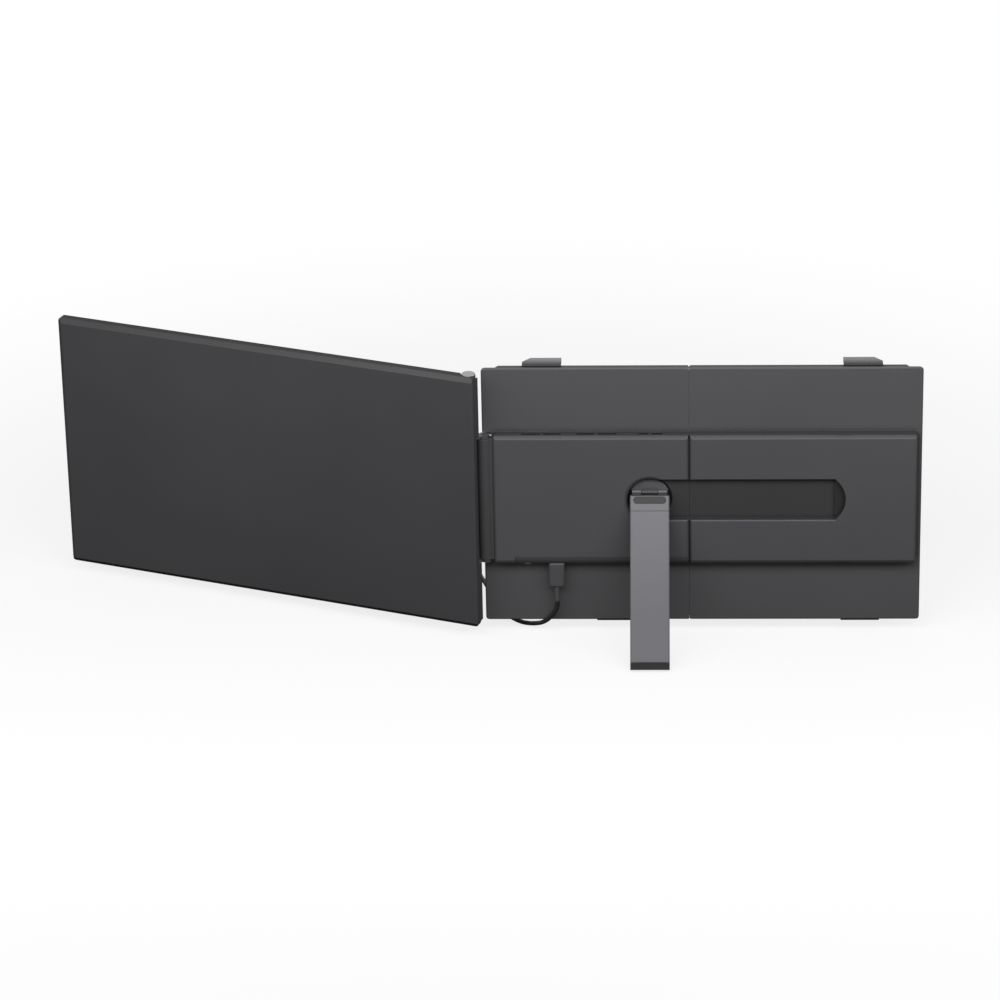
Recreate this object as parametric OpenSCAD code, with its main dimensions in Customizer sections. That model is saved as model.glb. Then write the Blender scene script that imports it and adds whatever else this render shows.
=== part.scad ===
// Clip-on second display for a laptop. A bracket in two sliding halves hangs on the back of the
// laptop's lid, held by two spring claws above and two hooks below. A display swings on a
// double-barrel hinge at its left, and a kickstand turns and tilts on the raised band.
// x = 0 is the stand's swivel axis, y = 0 is the face of the pads that meet the lid, and z = 0 is
// the plate's mid height. The outside of the bracket looks towards -y, the laptop is at +y.

/* [Bracket plate] */
// Width of the bracket with its halves closed
bracket_w = 325; // [300:1:350]
// Height of the bracket
bracket_h = 207; // [196:1:230]
// Thickness of the plate without its pads
plate_t = 4.6; // [4.4:0.1:5.4]
// Thickness of the pads that meet the lid
pad_t = 0.6; // [0.5:0.1:1]
// Skin of the plate, at its back and its front
skin_t = 1.2; // [1:0.1:1.3]
// From the hinge side's edge to the stand's swivel axis
hinge_to_swivel = 123.8; // [118:0.1:130]
// From the swivel axis to the seam between the halves
swivel_to_seam = 29.3; // [26:0.1:32]
// Radius of the plate's corners
corner_r = 3; // [2:0.5:5]
// From the plate's two ends to the step on its lid side
bevel_w = 12.6; // [11:0.1:14]

/* [Raised band] */
// Height of the raised band
band_h = 104.4; // [101:0.1:107]
// How far the band stands out from the plate
band_p = 9; // [9:0.1:11]
// Thickness of the band's cover
cover_t = 1.8; // [1.5:0.1:2.2]
// Wall of the band
band_wall = 1.8; // [1.4:0.1:2.2]
// From the plate's hinge side edge to the band
band_inset_left = 7.8; // [7.4:0.1:9]
// From the band to the plate's other edge
band_inset_right = 3.6; // [3:0.1:6]
// Width of the groove in the band at the seam
groove_w = 3.6; // [3:0.1:4.4]

/* [Kickstand] */
// Width of the leg
leg_w = 29.2; // [27:0.1:31]
// Thickness of the leg
leg_t = 4.2; // [3.8:0.1:4.4]
// Angle of the leg out from the bracket
leg_open = 26.2; // [20:0.1:45]
// Height of the bracket's lower edge above the table
table_drop = 10; // [8:0.5:12]
// Radius of the swivel disc
disc_r = 15.2; // [14.5:0.1:16]
// Height of the slot that the leg folds over
slot_h = 33; // [31.5:0.1:34]
// Depth of that slot
slot_depth = 5; // [4.6:0.1:5.4]
// Height of the rubber foot
foot_h = 5.5; // [4.5:0.5:8]

/* [Display] */
// Width of the display's housing
display_w = 340; // [330:1:345]
// How much lower the display is than the bracket
display_drop = 2.6; // [2.4:0.1:6]
// Thickness of the display
display_t = 8; // [7.4:0.1:9]
// Wall of the display's back cover
display_wall = 1.2; // [1:0.1:1.5]
// Thickness of the screen's bezel
bezel_t = 1.2; // [1:0.1:1.5]
// Bezel's edge between the barrel and the lit screen
bezel_hinge_edge = 9.9; // [6:0.1:14]
// Bezel's edge beyond the lit screen's far side
bezel_far_edge = 8.2; // [6:0.1:12]
// Bezel's edge above and below the lit screen
bezel_end_edge = 15.2; // [11:0.1:20]
// Angle between the display and the bracket, from folded shut
display_open = 160; // [120:1:200]

/* [Hinge] */
// Radius of each hinge barrel
barrel_r = 5.2; // [5:0.1:5.3]
// Radius of the hinge pins
pin_r = 2; // [1.5:0.1:2.4]
// Height of the bracket's hinge knuckle
knuckle_h = 98.6; // [90:0.1:99]
// Angle of the links between the barrels, round the bracket's pin
link_angle = 196; // [188:1:198]
// Thickness of the links
link_t = 2; // [1.6:0.1:2.4]

/* [Claws] */
// Width of a claw
claw_w = 28.8; // [26:0.1:32]
// Gap for the lid between the pads and a claw's lip
lid_gap = 6; // [5:0.1:6.6]
// Thickness of a claw's cap and lip
claw_t = 1.7; // [1.4:0.1:2]
// From the plate's hinge side edge to the middle of the left claw
claw_left = 44.8; // [36:0.1:60]
// From the plate's hinge side edge to the middle of the left hook
hook_left = 98; // [92:1:110]
// From the middle of the right claw and hook to the plate's other edge
claw_right = 44.2; // [34:0.1:60]
// How far a claw draws out
claw_travel = 40; // [20:1:44]

/* [Slide] */
// How far the right half draws out
slide_travel = 50; // [30:1:52]
// Height of each slide rail
rail_h = 18; // [14:1:20]
// Thickness of each slide rail
rail_t = 1.6; // [1.2:0.1:2]

/* [Lead] */
// Diameter of the lead
cord_d = 3.5; // [3:0.1:3.8]
// Width of a plug's grip
plug_w = 12; // [11:0.1:13]
// Thickness of a plug's grip
plug_t = 6.5; // [6:0.1:7]
// Length of a plug's grip
plug_len = 19.5; // [18:0.1:24]
// Length of the plug's strain relief
relief_len = 12.6; // [10:0.1:14]
// From the swivel axis back to the port
port_left = 69.8; // [60:0.1:76]

/* [Hidden] */
$fn = 48;

// Clearances
over = 1;
join = 0.05;
run = 0.05;
seat = 0.1;
clear = 0.3;
hinge_clear = 0.2;

// Levels of the bracket through its thickness
y_front = -pad_t;
y_cavity = y_front - skin_t;
y_back = y_front - plate_t;
y_skin = y_back + skin_t;
y_face = y_back - band_p;
y_cover_in = y_face + cover_t;
band_seam = 0.3;
y_wall_end = y_cover_in + band_seam;

// Ends and edges of the bracket
x_left = -hinge_to_swivel;
x_right = bracket_w - hinge_to_swivel;
x_seam = swivel_to_seam;
z_top = bracket_h / 2;
z_table = -z_top - table_drop;
seam_gap = 0.1;
seam_r = 1.5;
edge_cut = 1;
lip_t = 1.1;
tongue_seam_w = 1.5;
tongue_seam_t = 1;
y_tongue_seam = (y_back + y_cavity) / 2;
step_w = 2.3;
y_lip = y_back + lip_t;

// Raised band
band_x0 = x_left + band_inset_left;
band_x1 = x_right - band_inset_right;
band_z = band_h / 2;
band_r = 2.4;
cover_cut = 1.3;
cover_in = 2.7;
bay_x = -101;
bay_cut = 1.6;
bay_in = 5.7;
slot_cut = 0.6;
face_z = band_z - band_wall;
groove_cut = 1.1;

// Hinge: the bracket's pin stands beside the plate's edge, the display's pin hangs on the links
hinge_x = x_left + 1.5 * over;
hinge_out = 3.8;
hinge_y = y_back - hinge_out;
pitch = 2 * barrel_r + hinge_clear;
display_x = hinge_x + pitch * cos(link_angle);
display_y = hinge_y + pitch * sin(link_angle);
knuckle_z = knuckle_h / 2;
link_z0 = knuckle_z + clear;
link_z1 = link_z0 + link_t;
link_end_r = barrel_r - 0.8 * over;
link_waist = 2.6;
link_swing_x = 1.2;
pin_reach = 4;
web_half = 3.4;
knuckle_screw_r = 1.2;
knuckle_screw_head_r = 2;
knuckle_screw_head_t = 1.2;
knuckle_screw_from_pin = 0.8;
knuckle_screw_x = hinge_x + pin_r + knuckle_screw_from_pin;
knuckle_screw_z_share = 0.6;

// Display, in the frame of its own pin: x runs along it, y = 0 is the pin and the back is at +y
display_h = bracket_h - display_drop;
back_y = 8.75;
nose_w = 1.1;
nose_y = -2;
nose_y_knuckle = 3;
front_y = back_y - display_t;
bezel_y = front_y + bezel_t;
inner_back_y = back_y - display_wall;
display_x0 = -barrel_r - seat - nose_w;
display_x1 = display_x0 + display_w;
display_z = display_h / 2;
display_r = 3.2;
bevel_in = 3.5;
bevel_deep = 2.6;
hinge_bevel = 1;
bevel_wall = display_wall + 0.5 * bevel_in;
bezel_x0 = barrel_r + seat;
screen_x0 = bezel_x0 + bezel_hinge_edge;
screen_x1 = display_x1 - bezel_far_edge;
screen_h = display_h - 2 * bezel_end_edge;
lcd_edge = 4;
glass_t = 0.8;
lcd_t = 1.5;
backlight_t = 1.9;
board_t = 1.2;
driver_w = 110;
driver_h = 46;
driver_x = 90;
spine_w = 9.4;
cap_t = 0.8;
cap_r = barrel_r - 0.3 * over;

// Claws and their channels in the plate
tongue_w = 20;
tongue_len = 62;
channel_gap = 0.5;
channel_z = 8;
claw_lift = 0.8;
lip_drop = 0.9;
claw_back = 0.5;
hook_lift = 0.1;
hook_t = 1.5;
hook_back = 2.2;
claw_corner_x = 6;
claw_corner_y = 7;
claw_pad_t = 0.6;
tongue_slack = 0.2;
spring_r = 0.9;
z_claw_in = z_top + claw_lift;
z_claw_out = z_claw_in + claw_t;
y_lip_in = lid_gap;
y_lip_out = lid_gap + claw_t;
y_tongue0 = y_skin + tongue_slack;
y_tongue1 = y_cavity - tongue_slack;
x_claws = [x_left + claw_left, x_right - claw_right];
x_hooks = [x_left + hook_left, x_right - claw_right];

// Screws that close the plate's halves
shell_screw_r = 0.8;
shell_screw_head_r = 1.7;
shell_screw_head_t = 0.7;
shell_screw_tip = 0.2;
shell_screw_edge = 7;
shell_screw_low_share = 0.58;

// Pads on the lid side
pad_w_share = 0.62;
pad_h = 18;
pad_z_share = 0.8;

// Slide
rail_z = 36;
rail_in = 70;
rail_out = 90;
rail_y = y_back - 2.2 * over;
guide_wall = 1.6;
guide_from = 4;
guide_len = 68;
rail_screw_r = 1.2;
rail_screw_head_r = 2.2;
rail_screw_head_t = 1;
rail_screw_x = over * [45, 78];
rail_screw_end = 0.4;
rail_foot_w = 12;

// Hub board, port, switch and button along the band's lower wall
board_x0 = -108;
board_x1 = -49;
board_z1 = -21;
board_gap = 2.3;
board_y1 = y_back - board_gap;
board_y0 = board_y1 - board_t;
post_r = 2.4;
board_screw_r = 0.8;
board_screw_head_r = 1.6;
board_screw_head_t = 0.8;
board_edge = 4;
port_w = 9;
port_t = 3.2;
port_len = 8;
port_wall = 0.3;
port_y1 = board_y0 - seat;
port_y = port_y1 - port_t / 2;
port_x = -port_left;
button_x = -91.1;
button_w = 4.2;
button_t = 2.2;
button_out = 1.4;
button_flange = 1.2;
button_travel = 0.5;
switch_w = 4.6;
switch_t = 2.8;
switch_h = 3;
vent_t = 2.7;
vent_y = y_face + 5.2 * over;
// Ends of the vent slots along the band's upper wall, from the swivel axis
vent_ends = over * [[-94.6, -81], [-78.7, -65.4], [-53.9, -41], [-38, -24.5], [-8.1, -1],
    [1.4, 9.3]];

// Stand: recess, disc and the leg's pin
recess_gap = 1.5;
recess_r = disc_r + recess_gap;
recess_bevel = 2.6;
recess_bevel_deep = 1.6;
disc_depth = 5.6;
y_recess = y_face + disc_depth;
pocket_wall = 1.2;
y_slot = y_face + slot_depth;
hub_r = 6;
disc_t = 0.9;
y_disc1 = y_recess - seat;
y_disc0 = y_disc1 - disc_t;
stand_pin_r = 1;
stand_pin_len = 25.6;
z_pin = 5.2;
y_pin = y_face + leg_t / 2;
ear_r = leg_t / 2 - 0.05 * over;
ear_in = 6.3;
ear_out = 13;
boss_half = ear_in - clear;
boss_r = 1.6;
boss_gap = 0.2;
screw_skin = 0.3;
washer_r = 10;
washer_t = 0.9;
swivel_screw_r = 1.5;
swivel_screw_head_r = 3;
swivel_screw_head_t = 0.9;
hub_end = 0.1;
y_hub1 = y_recess + pocket_wall + hub_end;

// Leg, in the frame of its pin: it hangs along -z and its outer face is at -leg_t / 2
leg_reach = (z_pin - z_table - leg_t / 2 * sin(leg_open)) / cos(leg_open);
leg_top = 1.3;
leg_head_h = 13.5;
leg_side_r = 0.8;
insert_w = 24;
insert_h = 5;
insert_deep = 0.8;
insert_t = 0.5;
insert_from = 1.8;
tongue_in = 5;
leg_tongue_t = 2;
leg_tongue_w = 22;
foot_grow = 0.1;
finger_gap = 11.1;
slot_end = leg_reach - z_pin + finger_gap;
scoop_r = 21.6;
scoop_out = 7.9;
scoop_depth = 3.4;

// Lead: the hub plug hangs from the port, the far plug lies beside the coil
shell_w = 8.3;
shell_t = 2.4;
shell_out = 0.4;
shell_in = 6.4;
relief_r = cord_d / 2 + 0.35 * over;
z_wall = -band_z;
z_grip1 = z_wall - shell_out;
z_grip0 = z_grip1 - plug_len;
z_relief0 = z_grip0 - relief_len;
far_relief_len = 10;
cord_sides = 8;
coil_sides = 6;
coil_rings = 24;
coil_turns = 3;
coil_pitch = 4.6;
coil_layer = 4.1;
coil_mid_r = 19;
coil_r1 = coil_mid_r + coil_pitch * coil_turns / 2;
coil_r0 = coil_mid_r - coil_pitch * coil_turns / 2;
coil_x = -172;
coil_y = 134;
tie_t = 0.5;
tie_w = 8;
tie_gap = 0.15;
z_coil = z_table + tie_t + tie_gap + cord_d / 2;

// The lead's route from the hub plug's strain relief to the coil, and from the coil to the far plug
lead_route = [
    [-69.8, -10.4, -84.7], [-69.8, -10.4, -88], [-70.8, -10.4, -92.5], [-73.6, -9.6, -97],
    [-77.2, -8.0, -101.6], [-81.4, -5.0, -105.6], [-86.3, -0.6, -108.7], [-91.6, 3.6, -110.8],
    [-97, 7.3, -111.7], [-102.2, 11.8, -111.75], [-106.7, 17.5, -111.75], [-110.6, 24.5, -111.75],
    [-114, 32.5, -111.75], [-117.3, 41.5, -111.75], [-120.5, 51, -111.75], [-123.7, 61, -111.75],
    [-127, 71.5, -111.75], [-130.6, 82.5, -111.7], [-134.4, 93.5, -111.6], [-138.2, 104, -111.45],
    [-141.7, 114, -111.25], [-144.6, 123.5, -111.15], [-146, 130, -111.1], [-146.1, 134, -111.1]
];
tail_route = [
    [-197.9, 134, -107], [-198, 126, -107.35], [-198.3, 118, -108.5], [-198.6, 110, -109.7],
    [-198.8, 104, -110.2], [-198.8, 98, -110.25]
];

// Colours
panel_grey = "#414143";
plate_grey = "#525254";
band_grey = "#4d4d4f";
dark_grey = "#2e2e30";
leg_grey = "#7a7a7f";
claw_grey = "#828287";
metal = "#b8b8bd";
steel = "#96969b";
rubber = "#1f1f21";
board_green = "#1f4d33";
screen_black = "#101014";
white_sheet = "#d8d8dc";
cord_black = "#262628";

// Shapes shared by the pieces

// A box from its two corners
module block(x0, x1, y0, y1, z0, z1) {
    translate([x0, y0, z0]) cube([x1 - x0, y1 - y0, z1 - z0]);
}

// A round bar along y
module rod_y(x, z, y0, y1, r) {
    translate([x, y1, z]) rotate([90, 0, 0]) cylinder(h = y1 - y0, r = r);
}

// A round bar along x
module rod_x(y, z, x0, x1, r) {
    translate([x0, y, z]) rotate([0, 90, 0]) cylinder(h = x1 - x0, r = r);
}

// A round bar along z
module rod_z(x, y, z0, z1, r) {
    translate([x, y, z0]) cylinder(h = z1 - z0, r = r);
}

// A rectangle whose corners are round, with one radius at its left end and one at its right
module rounded(x0, x1, z0, z1, ra, rb) {
    translate([x0 + ra, z0]) square([x1 - x0 - ra - rb, z1 - z0]);
    translate([x0, z0 + ra]) square([ra, z1 - z0 - 2 * ra]);
    translate([x1 - rb, z0 + rb]) square([rb, z1 - z0 - 2 * rb]);
    for (z = [z0 + ra, z1 - ra]) translate([x0 + ra, z]) circle(ra);
    for (z = [z0 + rb, z1 - rb]) translate([x1 - rb, z]) circle(rb);
}

// That rectangle as a slab between two levels of y
module slab(x0, x1, y0, y1, z0, z1, ra, rb) {
    translate([0, y1, 0]) rotate([90, 0, 0])
        linear_extrude(y1 - y0) rounded(x0, x1, z0, z1, ra, rb);
}

// A flat outline in x and y, carried along z
module column(points, z0, z1) {
    translate([0, 0, z0]) linear_extrude(z1 - z0) polygon(points);
}

// Points of the wedge that cuts a bevel at a corner. sa and sb point from the corner into the
// solid, ca and cb are the bevel's two widths.
function wedge(a, b, sa, sb, ca, cb) = [
    [a - sa * over, b - sb * over],
    [a + sa * (ca + over * ca / cb), b - sb * over],
    [a - sa * over, b + sb * (cb + over * cb / ca)]
];

// A bevel on an edge that runs along z
module bevel_z(x, y, sx, sy, cx, cy, z0, z1) {
    translate([0, 0, z0]) linear_extrude(z1 - z0) polygon(wedge(x, y, sx, sy, cx, cy));
}

// A bevel on an edge that runs along x
module bevel_x(y, z, sy, sz, cy, cz, x0, x1) {
    translate([x0, 0, 0]) rotate([90, 0, 90])
        linear_extrude(x1 - x0) polygon(wedge(y, z, sy, sz, cy, cz));
}

// A bar with round ends along z, thickness along x and y, as a grip or a port has
module pill_z(x, y, z0, z1, w, t) {
    block(x - w / 2 + t / 2, x + w / 2 - t / 2, y - t / 2, y + t / 2, z0, z1);
    for (side = [-1, 1]) rod_z(x + side * (w / 2 - t / 2), y, z0, z1, t / 2);
}

// A tube of n sides swept along points, as one closed surface
function unit(v) = v / norm(v);
function heading(p, i) = unit(p[min(i + 1, len(p) - 1)] - p[max(i - 1, 0)]);
function turned(p, i, n, found) =
    i == len(p) ? found
    : let (t = heading(p, i), m = unit(n - (n * t) * t))
        turned(p, i + 1, m, concat(found, [[m, cross(t, m)]]));
function rings(p, r, n, start) =
    let (f = turned(p, 0, start, []))
    [for (i = [0 : len(p) - 1]) for (k = [0 : n - 1])
        p[i] + r * (cos(360 * k / n) * f[i][0] + sin(360 * k / n) * f[i][1])];
function skin(count, n) = concat(
    [[for (k = [0 : n - 1]) k]],
    [for (i = [0 : count - 2]) for (k = [0 : n - 1]) let (m = (k + 1) % n)
        each [[i * n + k, (i + 1) * n + k, (i + 1) * n + m], [i * n + k, (i + 1) * n + m, i * n + m]]],
    [[for (k = [n - 1 : -1 : 0]) (count - 1) * n + k]]
);
module tube(p, r, n, start) {
    polyhedron(points = rings(p, r, n, start), faces = skin(len(p), n));
}

// The display's own frame
module on_display() {
    translate([display_x, display_y, 0]) rotate([0, 0, display_open]) children();
}

// The leg's own frame
module on_leg() {
    translate([0, y_pin, z_pin]) rotate([-leg_open, 0, 0]) children();
}

// Upper pieces as drawn, lower ones turned over
module end(side) {
    if (side > 0) children();
    else mirror([0, 0, 1]) children();
}

// Display

module display_back_cover() {
    color(panel_grey) on_display() difference() {
        union() {
            slab(display_x0, display_x1, bezel_y + join, back_y, -display_z, display_z,
                display_r, display_r);
            // the side runs forward past the barrel, except beside the bracket's knuckle
            for (side = [-1, 1])
                end(side) block(display_x0, display_x0 + nose_w, nose_y, bezel_y + over,
                    link_z1 + clear, display_z - display_r);
        }
        block(display_x0 - over, 0, bezel_y, nose_y_knuckle, -link_z1 - clear,
            link_z1 + clear);
        block(display_x0 + display_wall, display_x1 - bevel_wall, front_y, inner_back_y,
            -display_z + bevel_wall, display_z - bevel_wall);
        for (side = [-1, 1])
            bevel_x(back_y, side * display_z, -1, -side, bevel_deep, bevel_in,
                display_x0 - over, display_x1 + over);
        bevel_z(display_x1, back_y, -1, -1, bevel_in, bevel_deep, -display_z - over,
            display_z + over);
        bevel_z(display_x0, back_y, 1, -1, hinge_bevel, hinge_bevel, -display_z - over,
            display_z + over);
        rod_z(0, 0, -display_z - over, display_z + over, barrel_r + seat);
    }
}

module display_bezel() {
    color(dark_grey) on_display() difference() {
        slab(bezel_x0, display_x1, front_y, bezel_y, -display_z, display_z, seam_r, display_r);
        block(screen_x0, screen_x1, front_y - over, bezel_y + over, -screen_h / 2, screen_h / 2);
    }
}

module screen_glass() {
    color(screen_black) on_display()
        block(screen_x0 + seat, screen_x1 - seat, bezel_y - glass_t, bezel_y,
            -screen_h / 2 + seat, screen_h / 2 - seat);
}

module lcd_panel() {
    color(screen_black) on_display()
        block(screen_x0 - lcd_edge, screen_x1 + lcd_edge, bezel_y + seat,
            bezel_y + seat + lcd_t, -screen_h / 2 - lcd_edge, screen_h / 2 + lcd_edge);
}

module backlight() {
    color(white_sheet) on_display()
        block(screen_x0 - lcd_edge, screen_x1 + lcd_edge, bezel_y + 2 * seat + lcd_t,
            bezel_y + 2 * seat + lcd_t + backlight_t, -screen_h / 2 - lcd_edge,
            screen_h / 2 + lcd_edge);
}

module driver_board() {
    color(board_green) on_display()
        block(driver_x, driver_x + driver_w, inner_back_y - seat - board_t,
            inner_back_y - seat, -driver_h / 2, driver_h / 2);
}

module display_spine() {
    end_z = display_z - cap_t - seat;
    color(panel_grey) on_display() difference() {
        union() {
            rod_z(0, 0, -end_z, end_z, barrel_r);
            block(display_x0 + display_wall + seat, barrel_r - seat, 0, inner_back_y - seat,
                -display_z + bevel_wall + seat, display_z - bevel_wall - seat);
            block(0, spine_w, bezel_y + seat, inner_back_y - seat,
                -display_z + bevel_wall + seat, display_z - bevel_wall - seat);
        }
        for (side = [-1, 1])
            end(side) block(-barrel_r - over, barrel_r + clear, -barrel_r - over,
                barrel_r + join, knuckle_z, link_z1 + clear);
        rod_z(0, 0, -link_z1 - pin_reach - clear, link_z1 + pin_reach + clear, pin_r + run);
    }
}

module barrel_caps() {
    color(metal) on_display() for (side = [-1, 1])
        end(side) rod_z(0, 0, display_z - cap_t, display_z, cap_r);
}

// Hinge links and pins

module link_outline() {
    difference() {
        union() {
            circle(link_end_r);
            translate([pitch, 0]) circle(link_end_r);
            translate([link_end_r / 2, -link_waist])
                square([pitch - link_end_r, 2 * link_waist]);
        }
        circle(pin_r + join);
        translate([pitch, 0]) circle(pin_r + join);
    }
}

module hinge_links() {
    color(steel) for (side = [-1, 1]) end(side)
        translate([hinge_x, hinge_y, link_z0]) rotate([0, 0, link_angle])
            linear_extrude(link_t) link_outline();
}

module hinge_pin_display() {
    color(steel) rod_z(display_x, display_y, -link_z1 - pin_reach, link_z1 + pin_reach, pin_r);
}

module hinge_pin_bracket() {
    color(steel) rod_z(hinge_x, hinge_y, -link_z1, link_z1, pin_r);
}

module hinge_knuckle() {
    color(band_grey) difference() {
        union() {
            rod_z(hinge_x, hinge_y, -knuckle_z, knuckle_z, barrel_r);
            block(hinge_x, band_x0 - join, hinge_y - web_half, hinge_y + web_half,
                -knuckle_z, knuckle_z);
        }
        rod_z(hinge_x, hinge_y, -knuckle_z - over, knuckle_z + over, pin_r + run);
        for (side = [-1, 1])
            rod_x(hinge_y, side * knuckle_screw_z_share * knuckle_z,
                knuckle_screw_x - clear, band_x0 + over,
                knuckle_screw_r + join);
    }
}

module knuckle_screws() {
    color(steel) for (side = [-1, 1]) {
        z = side * knuckle_screw_z_share * knuckle_z;
        rod_x(hinge_y, z, knuckle_screw_x, band_x0 + band_wall + join, knuckle_screw_r);
        rod_x(hinge_y, z, band_x0 + band_wall + join,
            band_x0 + band_wall + join + knuckle_screw_head_t, knuckle_screw_head_r);
    }
}

// Bracket shells. The left half runs from the hinge to the seam, the right half from the seam on.

module plate_bevels(x0, x1) {
    z = z_top + over;
    column([[x0 - over, y_lip], [x0 + bevel_w - step_w, y_lip], [x0 + bevel_w, y_front],
        [x0 + bevel_w, over], [x0 - over, over]], -z, z);
    column([[x1 + over, y_lip], [x1 - bevel_w + step_w, y_lip], [x1 - bevel_w, y_front],
        [x1 - bevel_w, over], [x1 + over, over]], -z, z);
    for (side = [-1, 1])
        bevel_x(y_back, side * z_top, 1, -side, edge_cut, edge_cut, x0 - over, x1 + over);
    bevel_z(x0, y_back, 1, 1, edge_cut, edge_cut / 2, -z, z);
    bevel_z(x1, y_back, -1, 1, edge_cut, edge_cut / 2, -z, z);
}

module claw_channels(half) {
    for (side = [-1, 1]) {
        x = side > 0 ? x_claws[half] : x_hooks[half];
        end(side) block(x - tongue_w / 2 - channel_gap, x + tongue_w / 2 + channel_gap,
            y_skin, y_cavity + over, channel_z, z_top + over);
    }
}

// The slopes of the band's walls, from the plate out to the cover
module band_walls(x0, x1, r0, r1) {
    slab(x0, x1, y_wall_end, y_back + join, -band_z, band_z, r0, r1);
}

// Places of the shell screws on one half, from its two ends
function screw_places(x0, x1) = [
    for (x = [x0 + shell_screw_edge, x1 - shell_screw_edge])
    for (z = [z_top - shell_screw_edge, shell_screw_low_share * z_top])
    for (side = [-1, 1]) [x, side * z]
];
left_screws = screw_places(x_left + bevel_w, x_seam);
right_screws = screw_places(x_seam, x_right - bevel_w);

module shell_pilots(places) {
    for (p = places)
        rod_y(p[0], p[1], y_skin - join, y_cavity + over, shell_screw_r + join);
}

module shell_screws(places) {
    color(steel) for (p = places) {
        rod_y(p[0], p[1], y_skin + shell_screw_tip, y_front - shell_screw_head_t, shell_screw_r);
        rod_y(p[0], p[1], y_front - shell_screw_head_t, y_front, shell_screw_head_r);
    }
}

module cover_bores(places) {
    for (p = places) {
        rod_y(p[0], p[1], y_cavity - over, y_front + over, shell_screw_r + join);
        rod_y(p[0], p[1], y_front - shell_screw_head_t - join, y_front + over,
            shell_screw_head_r + join);
    }
}

board_z0 = -face_z + seat;
function board_holes() = [
    for (x = [board_x0 + board_edge, board_x1 - board_edge])
    [x, board_z1 - board_edge]
];

// Notch through the plate's edge for the hinge knuckle, narrower beside the links
module hinge_notch() {
    block(x_left - over, hinge_x + barrel_r + clear, y_back - over, hinge_y + barrel_r + clear,
        -knuckle_z - clear, knuckle_z + clear);
    block(x_left - over, hinge_x + link_end_r + clear, y_back - over,
        hinge_y + link_end_r + clear, -link_z1 - clear, link_z1 + clear);
    block(x_left - over, hinge_x + link_swing_x, y_back - over, over, -link_z1 - clear,
        link_z1 + clear);
}

// Tongue on the right half's seam edge, and with a gap all round, the groove for it
module seam_tongue(gap) {
    block(x_seam - seam_gap / 2 - tongue_seam_w - gap, x_seam + tongue_seam_w + gap,
        y_tongue_seam - tongue_seam_t / 2 - gap, y_tongue_seam + tongue_seam_t / 2 + gap,
        -z_top + 2 * seam_r - gap, z_top - 2 * seam_r + gap);
}

module left_rear_shell() {
    color(plate_grey) difference() {
        union() {
            slab(x_left, x_seam - seam_gap / 2, y_back, y_cavity - join, -z_top, z_top,
                corner_r, seam_r);
            difference() {
                band_walls(band_x0, x_seam - seam_gap / 2, band_r, seat);
                block(band_x0 + band_wall, x_seam + over, y_wall_end - over, y_back,
                    -face_z, face_z);
            }
            for (h = board_holes()) rod_y(h[0], h[1], board_y1, y_back + join, post_r);
            for (x = [board_x0 + board_edge, board_x1 - board_edge])
                block(x - post_r, x + post_r, board_y1, y_back + join, -face_z - join,
                    -face_z + 2 * post_r);
        }
        plate_bevels(x_left, x_seam + 2 * bevel_w);
        seam_tongue(seat);
        claw_channels(0);
        shell_pilots(left_screws);
        hinge_notch();
        for (h = board_holes())
            rod_y(h[0], h[1], board_y1 - over, y_back + skin_t, board_screw_r + join);
        for (side = [-1, 1])
            rod_x(hinge_y, side * knuckle_screw_z_share * knuckle_z, band_x0 - over,
                band_x0 + band_wall + over, knuckle_screw_r + seat);
        // port and button through the lower wall, vents through the upper one
        pill_z(port_x, port_y, -band_z - over, -face_z + over, port_w + 2 * seat,
            port_t + 2 * seat);
        block(button_x - button_w / 2 - seat, button_x + button_w / 2 + seat,
            port_y - button_t / 2 - seat, port_y + button_t / 2 + seat,
            -band_z - over, -face_z + over);
        for (v = vent_ends)
            block(v[0], v[1], vent_y - vent_t / 2, vent_y + vent_t / 2, face_z - over,
                band_z + over);
    }
}

module left_front_cover() {
    color(plate_grey) difference() {
        slab(x_left, x_seam - seam_gap / 2, y_cavity, y_front, -z_top, z_top, corner_r, seam_r);
        plate_bevels(x_left, x_seam + 2 * bevel_w);
        cover_bores(left_screws);
        hinge_notch();
    }
}

module right_rear_shell() {
    x_in = x_seam + seam_gap / 2;
    color(plate_grey) difference() {
        union() {
            slab(x_in, x_right, y_back, y_cavity - join, -z_top, z_top, seam_r, corner_r);
            seam_tongue(0);
            difference() {
                band_walls(x_in, band_x1, seat, band_r);
                block(x_in - over, band_x1 - band_wall, y_wall_end - over, y_back,
                    -face_z, face_z);
            }
            for (x = rail_screw_x) for (side = [-1, 1])
                end(side) block(x_seam + x - rail_foot_w / 2, x_seam + x + rail_foot_w / 2,
                    rail_y + join, y_back + join, rail_z - rail_h / 2, rail_z + rail_h / 2);
        }
        plate_bevels(x_seam - 2 * bevel_w, x_right);
        claw_channels(1);
        shell_pilots(right_screws);
        for (x = rail_screw_x) for (side = [-1, 1])
            rod_y(x_seam + x, side * rail_z, rail_y - over, y_back + skin_t,
                rail_screw_r + join);
    }
}

module right_front_cover() {
    color(plate_grey) difference() {
        slab(x_seam + seam_gap / 2, x_right, y_cavity, y_front, -z_top, z_top, seam_r, corner_r);
        plate_bevels(x_seam - 2 * bevel_w, x_right);
        cover_bores(right_screws);
    }
}

// Band covers

module cover_plate(x0, x1, ra, rb) {
    difference() {
        slab(x0, x1, y_face, y_cover_in, -band_z, band_z, ra, rb);
        for (side = [-1, 1])
            bevel_x(y_face, side * band_z, 1, -side, cover_cut, cover_in, x0 - over, x1 + over);
    }
}

// Small bevels on the slot's long edges
module slot_edges(x0, x1) {
    for (side = [-1, 1])
        bevel_x(y_face, side * slot_h / 2, 1, side, slot_cut, slot_cut, x0, x1);
}

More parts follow.
